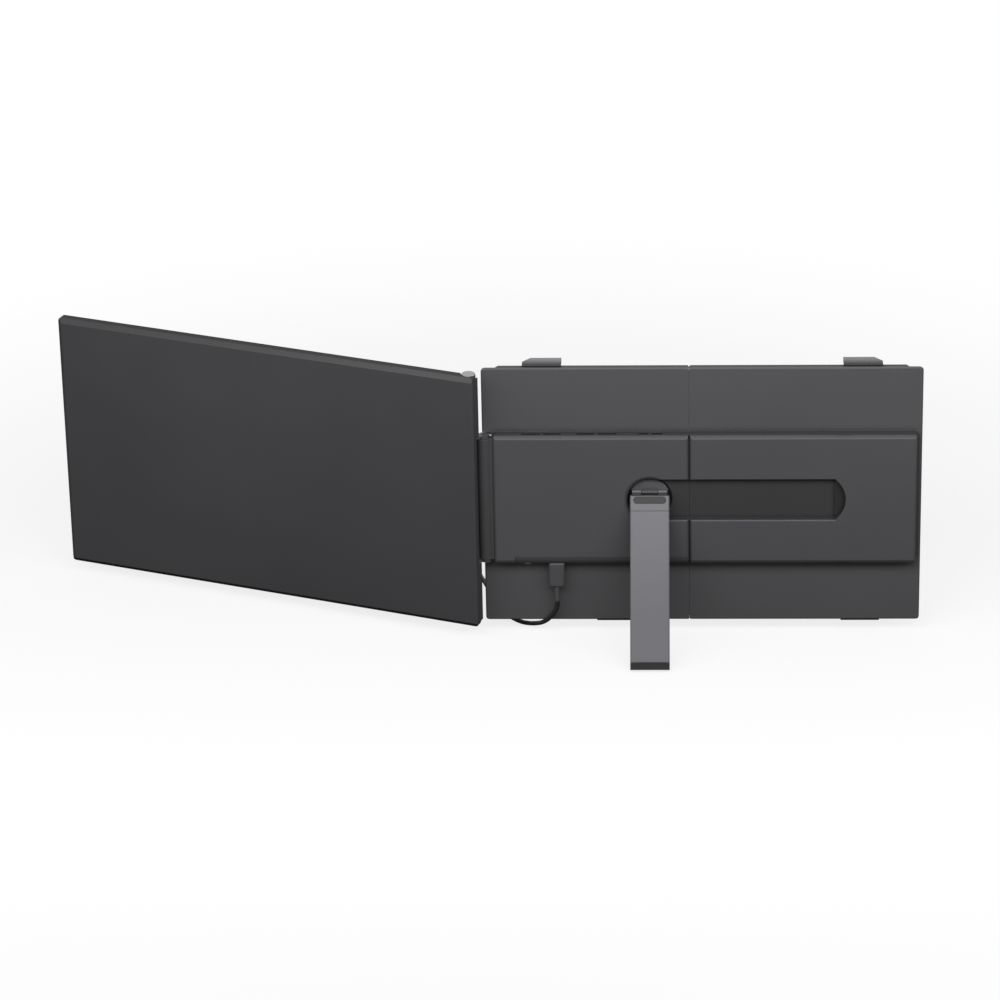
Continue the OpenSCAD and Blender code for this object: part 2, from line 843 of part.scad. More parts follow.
module left_band_cover() {
    x1 = x_seam - seam_gap / 2;
    cover_x1 = x_seam - groove_w / 2 + groove_cut;
    color(band_grey) difference() {
        union() {
            cover_plate(band_x0, cover_x1, band_r, seat);
            rod_y(0, 0, y_cover_in - join, y_recess + pocket_wall, recess_r + pocket_wall);
            block(0, x1, y_cover_in - join, y_slot + pocket_wall, -slot_h / 2 - pocket_wall,
                slot_h / 2 + pocket_wall);
            block(cover_x1 - over, x1, y_cover_in - pocket_wall / 2, y_cover_in,
                -face_z + seat, face_z - seat);
        }
        bevel_z(band_x0, y_face, 1, 1, band_wall, cover_cut, -band_z - over, band_z + over);
        bevel_x(y_face, -band_z, 1, 1, bay_cut, bay_in, bay_x, x1 + over);
        slot_edges(0, x1 + over);
        bevel_z(cover_x1, y_face, -1, 1, groove_cut, groove_cut, -band_z - over, band_z + over);
        rod_y(0, 0, y_face - over, y_recess, recess_r);
        translate([0, y_face, 0]) rotate([-90, 0, 0])
            cylinder(h = recess_bevel_deep, r1 = recess_r + recess_bevel, r2 = recess_r);
        block(0, x1 + over, y_face - over, y_slot, -slot_h / 2, slot_h / 2);
        rod_y(0, 0, y_recess - over, y_recess + pocket_wall + over, hub_r + run);
    }
}

module right_band_cover() {
    x0 = x_seam + seam_gap / 2;
    cover_x0 = x_seam + groove_w / 2 - groove_cut;
    scoop_x = slot_end + scoop_out - scoop_r;
    color(band_grey) difference() {
        union() {
            cover_plate(cover_x0, band_x1, seat, band_r);
            block(x0, slot_end + pocket_wall, y_cover_in - join, y_slot + pocket_wall,
                -slot_h / 2 - pocket_wall, slot_h / 2 + pocket_wall);
            rod_y(scoop_x, 0, y_cover_in - join, y_face + scoop_depth + pocket_wall,
                scoop_r + pocket_wall);
            block(x0, cover_x0 + over, y_cover_in - pocket_wall / 2, y_cover_in,
                -face_z + seat, face_z - seat);
        }
        bevel_z(band_x1, y_face, -1, 1, band_wall, cover_cut, -band_z - over, band_z + over);
        slot_edges(x0 - over, slot_end + slot_cut);
        bevel_z(cover_x0, y_face, 1, 1, groove_cut, groove_cut, -band_z - over, band_z + over);
        block(x0 - over, slot_end, y_face - over, y_slot, -slot_h / 2, slot_h / 2);
        intersection() {
            rod_y(scoop_x, 0, y_face - over, y_face + scoop_depth, scoop_r);
            block(slot_end - over, slot_end + scoop_out + over, y_face - over,
                y_face + scoop_depth, -slot_h / 2, slot_h / 2);
        }
    }
}

// Pads that rest on the lid
module lid_pads(x0, x1) {
    for (z = [-pad_z_share, 0, pad_z_share])
        slab(x0, x1, y_front, 0, z * z_top - pad_h / 2, z * z_top + pad_h / 2, seam_r, seam_r);
}

module left_lid_pads() {
    half_w = hinge_to_swivel + swivel_to_seam;
    color(rubber) lid_pads(x_seam - seam_r - shell_screw_edge - pad_w_share * half_w,
        x_seam - seam_r - shell_screw_edge);
}

module right_lid_pads() {
    half_w = bracket_w - hinge_to_swivel - swivel_to_seam;
    color(rubber) lid_pads(x_seam + seam_r + shell_screw_edge,
        x_seam + seam_r + shell_screw_edge + pad_w_share * half_w);
}

module left_shell_screws() {
    shell_screws(left_screws);
}

module right_shell_screws() {
    shell_screws(right_screws);
}

// Slide

module left_rail_guides() {
    color(rubber) for (side = [-1, 1]) end(side) difference() {
        block(x_seam - guide_from - guide_len, x_seam - guide_from,
            rail_y - rail_t - clear - guide_wall, y_back - join,
            rail_z - rail_h / 2 - guide_wall - clear / 2, rail_z + rail_h / 2 + guide_wall + clear / 2);
        block(x_seam - guide_from - guide_len - over, x_seam - guide_from + over,
            rail_y - rail_t - clear / 2, rail_y + clear / 2,
            rail_z - rail_h / 2 - clear / 2, rail_z + rail_h / 2 + clear / 2);
    }
}

module slide_rails() {
    color(metal) for (side = [-1, 1]) difference() {
        end(side) block(x_seam - rail_in, x_seam + rail_out, rail_y - rail_t, rail_y,
            rail_z - rail_h / 2, rail_z + rail_h / 2);
        for (x = rail_screw_x)
            rod_y(x_seam + x, side * rail_z, rail_y - rail_t - over, rail_y + over,
                rail_screw_r + join);
    }
}

module rail_screws() {
    color(steel) for (x = rail_screw_x) for (side = [-1, 1]) {
        rod_y(x_seam + x, side * rail_z, rail_y - rail_t - join, y_back + rail_screw_end,
            rail_screw_r);
        rod_y(x_seam + x, side * rail_z, rail_y - rail_t - join - rail_screw_head_t,
            rail_y - rail_t - join, rail_screw_head_r);
    }
}

// Electronics in the band

module hub_board() {
    color(board_green) difference() {
        block(board_x0, board_x1, board_y0, board_y1 - join, board_z0, board_z1);
        for (h = board_holes())
            rod_y(h[0], h[1], board_y0 - over, board_y1 + over, board_screw_r + join);
    }
}

module board_screws() {
    color(steel) for (h = board_holes()) {
        rod_y(h[0], h[1], board_y0 - join, y_back + skin_t - clear, board_screw_r);
        rod_y(h[0], h[1], board_y0 - join - board_screw_head_t, board_y0 - join,
            board_screw_head_r);
    }
}

module usb_port() {
    color(metal) difference() {
        pill_z(port_x, port_y, -face_z + seat, -face_z + seat + port_len, port_w, port_t);
        pill_z(port_x, port_y, -face_z - over, -face_z + seat + port_len - port_wall,
            port_w - 2 * port_wall, port_t - 2 * port_wall);
    }
}

module power_switch() {
    z0 = -face_z + button_flange + button_travel + 2 * seat;
    color(dark_grey)
        block(button_x - switch_w / 2, button_x + switch_w / 2, board_y0 - join - switch_t,
            board_y0 - join, z0, z0 + switch_h);
}

module power_button() {
    color(metal) {
        block(button_x - button_w / 2, button_x + button_w / 2, port_y - button_t / 2,
            port_y + button_t / 2, -band_z - button_out, -face_z + seat + button_flange / 2);
        block(button_x - button_w / 2 - over / 2, button_x + button_w / 2 + over / 2,
            port_y - button_t / 2 - over / 4, port_y + button_t / 2 + over / 4,
            -face_z + seat, -face_z + seat + button_flange);
    }
}

// Stand

module swivel_disc() {
    color(leg_grey) difference() {
        union() {
            rod_y(0, 0, y_disc0, y_disc1, disc_r);
            rod_y(0, 0, y_disc1 - join, y_hub1, hub_r);
            rod_x(y_pin, z_pin, -boss_half, boss_half, boss_r);
            block(-boss_half, boss_half, y_pin, y_disc1, z_pin - boss_r, z_pin + boss_r);
        }
        rod_x(y_pin, z_pin, -boss_half - over, boss_half + over, stand_pin_r + run);
        rod_y(0, 0, y_disc0 + screw_skin, y_hub1 + over, swivel_screw_r + join);
    }
}

module swivel_washer() {
    color(steel) difference() {
        rod_y(0, 0, y_hub1 + join, y_hub1 + join + washer_t, washer_r);
        rod_y(0, 0, y_hub1 - over, y_hub1 + washer_t + over, swivel_screw_r + join);
    }
}

module swivel_screw() {
    y = y_hub1 + 2 * join + washer_t;
    color(steel) {
        rod_y(0, 0, y_disc0 + screw_skin + seat, y, swivel_screw_r);
        rod_y(0, 0, y, y + swivel_screw_head_t, swivel_screw_head_r);
    }
}

module stand_pin() {
    color(metal) rod_x(y_pin, z_pin, -stand_pin_len / 2, stand_pin_len / 2, stand_pin_r);
}

// A leg piece between two heights, its long outer edges bevelled
module leg_bar(z0, z1, grow) {
    h = leg_t / 2 + grow;
    w = leg_w / 2 + grow;
    difference() {
        block(-w, w, -h, h, z0, z1);
        for (side = [-1, 1])
            bevel_z(side * w, -h, -side, 1, leg_side_r, leg_side_r, z0 - over, z1 + over);
    }
}

module insert_shape(y0, y1, grow) {
    z = -leg_top - insert_from - insert_h / 2;
    r = insert_h / 2 + grow;
    block(-insert_w / 2 + insert_h / 2, insert_w / 2 - insert_h / 2, y0, y1, z - r, z + r);
    for (side = [-1, 1]) rod_y(side * (insert_w - insert_h) / 2, z, y0, y1, r);
}

module leg_knuckle() {
    color(leg_grey) on_leg() difference() {
        union() {
            leg_bar(-leg_head_h, -leg_top, 0);
            for (side = [-1, 1]) {
                x0 = side > 0 ? ear_in : -ear_out;
                rod_x(0, 0, x0, x0 + ear_out - ear_in, ear_r);
                block(x0, x0 + ear_out - ear_in, -ear_r, ear_r, -leg_top - join, 0);
            }
        }
        rod_x(0, 0, -leg_w, leg_w, stand_pin_r + run);
        rod_x(0, 0, -ear_in, ear_in, boss_r + boss_gap);
        block(-ear_in, ear_in, 0, leg_t, -boss_r - boss_gap, over);
        insert_shape(-leg_t, -leg_t / 2 + insert_deep, seat);
        block(-leg_tongue_w / 2 - seat, leg_tongue_w / 2 + seat, -leg_tongue_t / 2 + join,
            leg_tongue_t / 2 + 2 * seat, -leg_head_h - over, -leg_head_h + tongue_in + seat);
    }
}

module leg_insert() {
    color(dark_grey) on_leg()
        insert_shape(-leg_t / 2 + insert_deep - join - insert_t, -leg_t / 2 + insert_deep - join, 0);
}

module leg_blade() {
    z1 = -leg_head_h - seat;
    z0 = -leg_reach + foot_h;
    color(leg_grey) on_leg() {
        leg_bar(z0, z1, 0);
        block(-leg_tongue_w / 2, leg_tongue_w / 2, -leg_tongue_t / 2 + seat,
            leg_tongue_t / 2 + seat, z1 - over, z1 + tongue_in);
        block(-leg_tongue_w / 2, leg_tongue_w / 2, -leg_tongue_t / 2, leg_tongue_t / 2,
            z0 - foot_h / 2, z0 + over);
    }
}

module foot_pad() {
    z1 = -leg_reach + foot_h - seat;
    color(rubber) on_leg() difference() {
        leg_bar(-leg_reach, z1, 0);
        block(-leg_tongue_w / 2 - seat, leg_tongue_w / 2 + seat, -leg_tongue_t / 2 - seat,
            leg_tongue_t / 2 + seat, z1 - foot_h / 2, z1 + over);
    }
}

// Claws: a cap and lip beyond the plate's edge, on a tongue in its channel. hand is -1 on the
// left half and 1 on the right, where the cap's cut corner is.

module claw_shape(x, hand) {
    w = claw_w / 2;
    y0 = y_back + claw_back;
    cap = [[x - hand * w, y0], [x + hand * w, y0], [x + hand * w, y_lip_out - claw_corner_y],
        [x + hand * (w - claw_corner_x), y_lip_out], [x - hand * w, y_lip_out]];
    inner = w - claw_corner_x - claw_pad_t;
    column(cap, z_claw_in, z_claw_out);
    block(min(x - hand * w, x + hand * inner), max(x - hand * w, x + hand * inner),
        y_lip_in, y_lip_out, z_top - lip_drop, z_claw_out);
    block(x - tongue_w / 2, x + tongue_w / 2, y_tongue0, y_tongue1, z_top - tongue_len,
        z_claw_in + join);
}

module claw_pad_shape(x, hand) {
    w = claw_w / 2 - claw_pad_t;
    inner = w - claw_corner_x - claw_pad_t;
    block(min(x - hand * w, x + hand * inner), max(x - hand * w, x + hand * inner),
        y_lip_in - claw_pad_t, y_lip_in, z_top - lip_drop, z_claw_in - join);
}

module claw_spring_shape(x) {
    y = (y_skin + y_cavity) / 2;
    rod_z(x, y, channel_z + join, z_top - tongue_len - join, spring_r);
}

// A hook is a fixed claw, drawn upright and turned over to the lower edge
module hook_shape(x) {
    w = claw_w / 2;
    z_in = z_top + hook_lift;
    block(x - w, x + w, y_back + hook_back, y_lip_out, z_in, z_in + hook_t);
    block(x - w, x + w, y_lip_in, y_lip_out, z_top - lip_drop, z_in + hook_t);
    block(x - tongue_w / 2, x + tongue_w / 2, y_tongue0, y_tongue1, z_top - tongue_len,
        z_in + join);
}

module hook_pad_shape(x) {
    w = claw_w / 2 - claw_pad_t;
    block(x - w, x + w, y_lip_in - claw_pad_t, y_lip_in, z_top - lip_drop,
        z_top + hook_lift - join);
}

module claw_left() { color(claw_grey) claw_shape(x_claws[0], -1); }
module claw_right() { color(claw_grey) claw_shape(x_claws[1], 1); }
module claw_pad_left() { color(rubber) claw_pad_shape(x_claws[0], -1); }
module claw_pad_right() { color(rubber) claw_pad_shape(x_claws[1], 1); }
module claw_spring_left() { color(metal) claw_spring_shape(x_claws[0]); }
module claw_spring_right() { color(metal) claw_spring_shape(x_claws[1]); }
module hook_left() { color(claw_grey) end(-1) hook_shape(x_hooks[0]); }
module hook_right() { color(claw_grey) end(-1) hook_shape(x_hooks[1]); }
module hook_pad_left() { color(rubber) end(-1) hook_pad_shape(x_hooks[0]); }
module hook_pad_right() { color(rubber) end(-1) hook_pad_shape(x_hooks[1]); }

// Lead

// A plug in its own frame: the shell points up from z = 0, the grip and relief hang below
module plug_shell() {
    pill_z(0, 0, -over, shell_out + shell_in, shell_w, shell_t);
}

module plug_grip(relief) {
    difference() {
        union() {
            pill_z(0, 0, -plug_len, 0, plug_w, plug_t);
            rod_z(0, 0, -plug_len - relief, -plug_len + over, relief_r);
        }
        pill_z(0, 0, -over - join, over, shell_w + 2 * join, shell_t + 2 * join);
    }
}

module on_port() {
    translate([port_x, port_y, z_grip1]) children();
}

// The far plug lies flat on the table, its shell towards -y
far_end = tail_route[len(tail_route) - 1];
module on_far() {
    translate([far_end[0], far_end[1] - far_relief_len - plug_len, z_table + plug_t / 2])
        rotate([90, 0, 0]) children();
}

module hub_plug_shell() { color(metal) on_port() plug_shell(); }
module hub_plug_grip() { color(dark_grey) on_port() plug_grip(relief_len); }
module far_plug_shell() { color(metal) on_far() plug_shell(); }
module far_plug_grip() { color(dark_grey) on_far() plug_grip(far_relief_len); }

module lead_cord() {
    color(cord_black) tube(lead_route, cord_d / 2, cord_sides, [1, 0, 0]);
}

// The coil: in along the lower layer, up in half a turn, and out along the upper one
steps = coil_rings * (2 * coil_turns + 0.5);
climb_from = coil_turns * 360;
climb_to = climb_from + 180;
function coil_radius(a) =
    a < climb_from ? coil_r1 - coil_pitch * a / 360
    : a < climb_to ? coil_r0
    : coil_r0 + coil_pitch * (a - climb_to) / 360;
function coil_height(a) =
    a < climb_from ? 0
    : a < climb_to ? coil_layer * (1 - cos(a - climb_from)) / 2
    : coil_layer;
coil_route = [for (i = [0 : steps]) let (a = 360 * i / coil_rings, r = coil_radius(a))
    [coil_x + r * cos(a), coil_y + r * sin(a), z_coil + coil_height(a)]];

// Least gap of the coil to itself, between points that are at least half a turn apart
coil_gap = min([for (i = [0 : len(coil_route) - 1])
    for (k = [i + coil_rings / 2 : 1 : len(coil_route) - 1])
        norm(coil_route[i] - coil_route[k])]) - cord_d;
echo(coil_gap = coil_gap);

module lead_coil() {
    tail = [for (i = [1 : len(tail_route) - 1]) tail_route[i]];
    color(cord_black) tube(concat(coil_route, tail), cord_d / 2, coil_sides, [1, 0, 0]);
}

module lead_tie() {
    inner_r = coil_r0 - cord_d / 2;
    y0 = coil_y + sqrt(inner_r * inner_r - tie_w * tie_w / 4) - tie_gap;
    y1 = coil_y + coil_r1 - coil_pitch / 4 + cord_d / 2 + tie_gap;
    z1 = z_coil + coil_layer + cord_d / 2 + tie_gap;
    color(rubber) difference() {
        block(coil_x - tie_w / 2, coil_x + tie_w / 2, y0 - tie_t, y1 + tie_t, z_table, z1 + tie_t);
        block(coil_x - tie_w, coil_x + tie_w, y0, y1, z_table + tie_t, z1);
    }
}

display_back_cover();
display_bezel();
screen_glass();
lcd_panel();
backlight();
driver_board();
display_spine();
barrel_caps();
hinge_links();
hinge_pin_display();
hinge_pin_bracket();
left_rear_shell();
left_front_cover();
left_band_cover();
hinge_knuckle();
knuckle_screws();
hub_board();
board_screws();
usb_port();
power_switch();
left_rail_guides();
left_lid_pads();
left_shell_screws();
power_button();
swivel_disc();
swivel_washer();
swivel_screw();
stand_pin();
leg_knuckle();
leg_blade();
leg_insert();
foot_pad();
right_rear_shell();
right_front_cover();
right_band_cover();
slide_rails();
rail_screws();
right_lid_pads();
right_shell_screws();
claw_left();
claw_right();
claw_pad_left();
claw_pad_right();
claw_spring_left();
claw_spring_right();
hook_left();
hook_right();
hook_pad_left();
hook_pad_right();
hub_plug_shell();
hub_plug_grip();
lead_cord();
lead_coil();
lead_tie();
far_plug_shell();
far_plug_grip();
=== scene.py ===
"""Looks of a clip-on laptop screen extender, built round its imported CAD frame.

The frame's solids keep their shapes and get their finishes here. The lead with its coil, the plugs,
the tie, the claw springs and the small screws are new surfaces that stand for their plain solids.
Lengths are in metres in the frame's own axes: +Z up, +X along the bracket, +Y towards the laptop.
"""

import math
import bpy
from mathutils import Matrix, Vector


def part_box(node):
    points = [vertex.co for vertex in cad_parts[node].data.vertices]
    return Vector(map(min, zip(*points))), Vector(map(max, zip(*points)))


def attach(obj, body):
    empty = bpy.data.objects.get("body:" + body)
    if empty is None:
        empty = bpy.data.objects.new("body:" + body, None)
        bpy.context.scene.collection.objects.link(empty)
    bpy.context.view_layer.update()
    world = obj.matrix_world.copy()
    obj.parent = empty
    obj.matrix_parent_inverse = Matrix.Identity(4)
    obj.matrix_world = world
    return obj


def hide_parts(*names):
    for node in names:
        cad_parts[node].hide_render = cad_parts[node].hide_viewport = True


bl_info = {
    "name": "Laptop screen extender",
    "version": (1, 0, 0),
    "blender": (4, 5, 0),
    "location": "3D View > Sidebar > Extender",
    "description": "Builds the lead, plugs, springs, screws and finishes of a laptop screen "
                   "extender",
    "category": "Add Mesh",
}

import bpy
import numpy as np
from bpy.props import FloatProperty, FloatVectorProperty, IntProperty, PointerProperty
from mathutils import Matrix

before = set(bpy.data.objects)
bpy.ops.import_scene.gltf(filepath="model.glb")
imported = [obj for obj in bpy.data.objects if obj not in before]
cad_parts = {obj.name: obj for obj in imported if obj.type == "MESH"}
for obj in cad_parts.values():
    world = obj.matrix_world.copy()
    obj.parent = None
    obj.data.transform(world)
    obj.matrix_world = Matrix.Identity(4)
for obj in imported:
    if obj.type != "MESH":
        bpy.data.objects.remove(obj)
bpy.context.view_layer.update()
MM = 0.001

# The lead's route as the frame's solids have it. It and all values down to the camera's are in
# millimetres, and turns are in degrees
LEAD_ROUTE = (
    (-69.8, -10.4, -84.7), (-69.8, -10.4, -88), (-70.8, -10.4, -92.5), (-73.6, -9.6, -97),
    (-77.2, -8.0, -101.6), (-81.4, -5.0, -105.6), (-86.3, -0.6, -108.7), (-91.6, 3.6, -110.8),
    (-97, 7.3, -111.7), (-102.2, 11.8, -111.75), (-106.7, 17.5, -111.75), (-110.6, 24.5, -111.75),
    (-114, 32.5, -111.75), (-117.3, 41.5, -111.75), (-120.5, 51, -111.75), (-123.7, 61, -111.75),
    (-127, 71.5, -111.75), (-130.6, 82.5, -111.7), (-134.4, 93.5, -111.6), (-138.2, 104, -111.45),
    (-141.7, 114, -111.25), (-144.6, 123.5, -111.15), (-146, 130, -111.1), (-146.1, 134, -111.1),
)
TAIL_ROUTE = (
    (-197.9, 134, -107), (-198, 126, -107.35), (-198.3, 118, -108.5), (-198.6, 110, -109.7),
    (-198.8, 104, -110.2), (-198.8, 98, -110.25),
)
COIL_MIDDLE = (-172.0, 134.0, -111.1)
COIL_RADII = (25.9, 12.1)
COIL_PITCH = 4.6
COIL_RISE = 4.1
COIL_TURNS = 3
CORD_RADIUS = 1.75
TABLE = -113.5

# Points to a stretch of the route and to a turn of the coil, and sides of the lead and the plugs
ROUTE_STEPS = 5
TURN_STEPS = 48
CORD_SIDES = 14
PLUG_SIDES = 64

# The band that ties the coil: half its width, its thickness, bevel and corners, and its gaps
TIE_HALF = 4.0
TIE_THICK = 0.45
TIE_BEVEL = 0.2
TIE_ROUND = 1.3
TIE_GAP = 0.15
TIE_LIFT = 0.5

# Where the two plugs' grips start, and how long their sleeves are
PORT = (-69.8, -10.4, -52.6)
FAR_PLUG = (-198.8, 68.5, -110.25)
HUB_SLEEVE = 12.6
FAR_SLEEVE = 10.0

# The plate's small screws: how far in they stand, how deep, and how high the inner rows are
SCREW_INSET = 1.7
SCREW_SUNK = 0.6
PLATE_HALF = 103.5
INNER_ROW = 0.58

# The photograph's camera: what it looks at, its distance and its three turns
AIM = (-111.5, -5.2, -3.7)
DISTANCE = 3549.6
AZIMUTH = 2.61
ELEVATION = 25.36
ROLL = -1.23
FOCAL_PIXELS = 4768.0
PHOTO_PIXELS = 1000.0
SENSOR = 36.0

# The studio, in metres: the floor's reach and its gap under the lead, the point that the lamps
# face, how far from it the floor turns from shadowed to all white, and its share of white before
FLOOR_REACH = 6.0
FLOOR_GAP = 0.0003
STAGE_MIDDLE = (-0.12, 0.0, 0.0)
SHADOW_NEAR = 0.35
SHADOW_FAR = 0.85
SHADOW_WHITE = 0.78

# Each lamp's name, share of the main lamp's power, size and place
LAMPS = (("long_lamp", 1.0, (2.2, 0.25), (-0.12, -0.42, 0.42)),
         ("lid_side_lamp", 0.9, (2.2, 0.2), (-0.12, 1.4, 0.0)))

# Greys that several finishes share, all painted shade: three near-blacks for crevices, recesses,
# gaps and bottom edges, and a darker grey for top edges
SHADE_BLACK = (0.003, 0.003, 0.003)
RECESS_SHADE = (0.004, 0.004, 0.004)
DEEP_SHADE = (0.006, 0.006, 0.006)
TOP_EDGE_SHADE = (0.034, 0.034, 0.036)


def length_property(name, what, value, low, high):
    """A length that a user would change."""
    return FloatProperty(name=name, description=what, default=value, min=low, max=high,
                         unit="LENGTH")


def colour_property(name, what, value):
    """A colour that a user would change."""
    return FloatVectorProperty(name=name, description=what, subtype="COLOR", size=3, min=0.0,
                               max=1.0, default=value)


class ExtenderSizes(bpy.types.PropertyGroup):
    """Sizes of the pieces that are made here, and the studio's levels."""

    lead_diameter: length_property("Lead diameter", "Diameter of the lead", 0.0035, 0.002, 0.006)
    grip_width: length_property("Grip width", "Width of a plug's grip", 0.0118, 0.008, 0.014)
    grip_depth: length_property("Grip depth", "Thickness of a plug's grip", 0.0064, 0.005, 0.008)
    grip_length: length_property("Grip length", "Length of a plug's grip", 0.0195, 0.012, 0.03)
    spring_turns: IntProperty(name="Spring turns", description="Turns of wire in a claw's spring",
                              default=26, min=8, max=60)
    lamp_power: FloatProperty(name="Lamp power", description="Power of the studio's main lamp",
                              default=7.7, min=0.0, max=400.0, unit="POWER")
    sky_level: FloatProperty(name="Sky level", description="Brightness of the studio's even light",
                             default=0.36, min=0.0, max=3.0)


class ExtenderColours(bpy.types.PropertyGroup):
    """Colours of the main finishes."""

    housing: colour_property("Display housing", "Colour of the display's back",
                             (0.0505, 0.0505, 0.054))
    plate: colour_property("Plate", "Colour of the bracket's plate", (0.080, 0.080, 0.084))
    band: colour_property("Band", "Colour of the raised band", (0.074, 0.074, 0.0785))
    leg: colour_property("Leg", "Colour of the kickstand's leg", (0.160, 0.158, 0.171))
    claw: colour_property("Claw", "Colour of the claws and hooks", (0.29, 0.286, 0.303))
    lead: colour_property("Lead", "Colour of the lead's jacket", (0.018, 0.018, 0.020))
    grip: colour_property("Plug grip", "Colour of the plugs' grips", (0.074, 0.074, 0.078))


# Surfaces

def put_mesh(name, points, faces, smooth=True):
    """Makes an object at the origin from an (n, 3) array of points and a list of faces."""
    mesh = bpy.data.meshes.new(name)
    mesh.from_pydata(points.tolist(), [], faces)
    mesh.polygons.foreach_set("use_smooth", [smooth] * len(mesh.polygons))
    mesh.update()
    piece = bpy.data.objects.new(name, mesh)
    bpy.context.scene.collection.objects.link(piece)
    return piece


def grid_faces(rows, columns, loop_rows=False):
    """Quads of a grid of rows by columns points. The last column joins the first, and with
    loop_rows the last row joins the first too."""
    r = np.arange(rows if loop_rows else rows - 1)
    r, c = [a.ravel() for a in np.meshgrid(r, np.arange(columns), indexing="ij")]
    down, right = (r + 1) % rows, (c + 1) % columns
    return np.stack([r * columns + c, r * columns + right, down * columns + right,
                     down * columns + c], 1)


def put_grid(name, points, loop_rows=False, flip=False):
    """An object from a (rows, columns, 3) array whose columns close on themselves. One face each
    closes the first and last row, unless loop_rows joins them. flip turns the faces over."""
    rows, columns = points.shape[:2]
    quads = grid_faces(rows, columns, loop_rows)
    faces = (quads[:, ::-1] if flip else quads).tolist()
    if not loop_rows:
        first = list(range(columns))
        last = [(rows - 1) * columns + k for k in range(columns)]
        faces += [first, last[::-1]] if flip else [first[::-1], last]
    return put_mesh(name, points.reshape(-1, 3), faces)


def smooth_route(points):
    """Catmull-Rom curve: between two points it is the cubic whose slope at each is half the step
    from the point before to the point after."""
    p = np.array(points, float)
    p = np.vstack([2 * p[0] - p[1], p, 2 * p[-1] - p[-2]])
    a, b, c, d = p[:-3, None], p[1:-2, None], p[2:-1, None], p[3:, None]
    t = (np.arange(ROUTE_STEPS) / ROUTE_STEPS)[None, :, None]
    curve = 0.5 * (2 * b + (c - a) * t + (2 * a - 5 * b + 4 * c - d) * t ** 2
                   + (3 * b - a - 3 * c + d) * t ** 3)
    return np.vstack([curve.reshape(-1, 3), p[-2:-1]])


def coil_route():
    """The coil's line: the radius shrinks by one pitch a turn on the lower layer, holds for the
    half turn in which the line climbs along a cosine, and grows by one pitch a turn above."""
    whole = 2 * COIL_TURNS + 0.5
    turns = np.linspace(0, whole, int(TURN_STEPS * whole) + 1)
    climb = np.clip((turns - COIL_TURNS) * 2, 0, 1)
    radius = (COIL_RADII[0] - COIL_PITCH * np.minimum(turns, COIL_TURNS)
              + COIL_PITCH * np.maximum(turns - COIL_TURNS - 0.5, 0))
    height = COIL_RISE * (1 - np.cos(math.pi * climb)) / 2
    angle = 2 * math.pi * turns
    return np.stack([COIL_MIDDLE[0] + radius * np.cos(angle),
                     COIL_MIDDLE[1] + radius * np.sin(angle), COIL_MIDDLE[2] + height], 1)


def lead_line():
    """The lead's whole line in metres, from the hub plug's sleeve to the far plug's sleeve."""
    return MM * np.vstack([smooth_route(LEAD_ROUTE)[:-1], coil_route()[:-1],
                           smooth_route(TAIL_ROUTE)])


def frames_along(line, start):
    """Two unit vectors square to the line at each point. The first starts near start and is carried
    along by taking away its part along each next direction, so the tube doesn't twist."""
    way = np.gradient(line, axis=0)
    way /= np.linalg.norm(way, axis=1)[:, None]
    side = np.empty_like(line)
    carried = np.array(start, float)
    for k, step in enumerate(way):
        carried = carried - (carried @ step) * step
        carried /= np.linalg.norm(carried)
        side[k] = carried
    return side, np.cross(way, side)


def tube_points(line, radius, sides, start=(1, 0, 0)):
    """Rings of points round a line: side * cos + other * sin, times the radius at each point."""
    side, other = frames_along(line, start)
    turn = 2 * math.pi * np.arange(sides) / sides
    radius = np.broadcast_to(np.asarray(radius, float), (len(line),))[:, None, None]
    return line[:, None] + radius * (side[:, None] * np.cos(turn)[None, :, None]
                                     + other[:, None] * np.sin(turn)[None, :, None])


def superellipse(width, depth, power, count):
    """A closed outline of count points: x = w/2 * sign(cos) * |cos| ** (2 / power), and y the same
    with sin. power 2 is an ellipse, and a higher power is squarer."""
    turn = 2 * math.pi * np.arange(count) / count
    c, s = np.cos(turn), np.sin(turn)
    return np.stack([width / 2 * np.sign(c) * np.abs(c) ** (2 / power),
                     depth / 2 * np.sign(s) * np.abs(s) ** (2 / power)], 1)


def pill(width, depth, count):
    """A closed outline of count points: two half circles joined by straight sides."""
    turn = 2 * math.pi * (np.arange(count) + 0.5) / count
    shift = np.where(np.cos(turn) > 0, 1, -1) * (width - depth) / 2
    return np.stack([depth / 2 * np.cos(turn) + shift, depth / 2 * np.sin(turn)], 1)


def loft(outlines, heights):
    """Outlines (list of (n, 2) arrays) stood at heights along z."""
    return np.array([np.column_stack([o, np.full(len(o), h)]) for o, h in zip(outlines, heights)])


def turned(points, matrix):
    """points moved by a 4 by 4 matrix."""
    m = np.array(matrix)
    return points @ m[:3, :3].T + m[:3, 3]


def revolve(profile, centres, count, way=(0, -1, 0)):
    """A profile of (radius, height) pairs turned round an axis that runs along way through each
    centre. Every centre's grid is joined into one set of points and faces."""
    way = np.array(way, float)
    side = np.array((1.0, 0, 0)) if abs(way[0]) < 0.5 else np.array((0, 0, 1.0))
    other = np.cross(way, side)
    turn = 2 * math.pi * np.arange(count) / count
    r, h = np.array(profile, float).T
    ring = (r[:, None, None] * (side * np.cos(turn)[:, None] + other * np.sin(turn)[:, None])[None]
            + h[:, None, None] * way)
    points = (np.array(centres, float)[:, None, None] + ring[None]).reshape(-1, 3)
    quads = grid_faces(len(profile), count)
    each = len(profile) * count
    faces = (np.arange(len(centres))[:, None, None] * each + quads[None]).reshape(-1, 4)
    return points, faces.tolist()


# Finishes

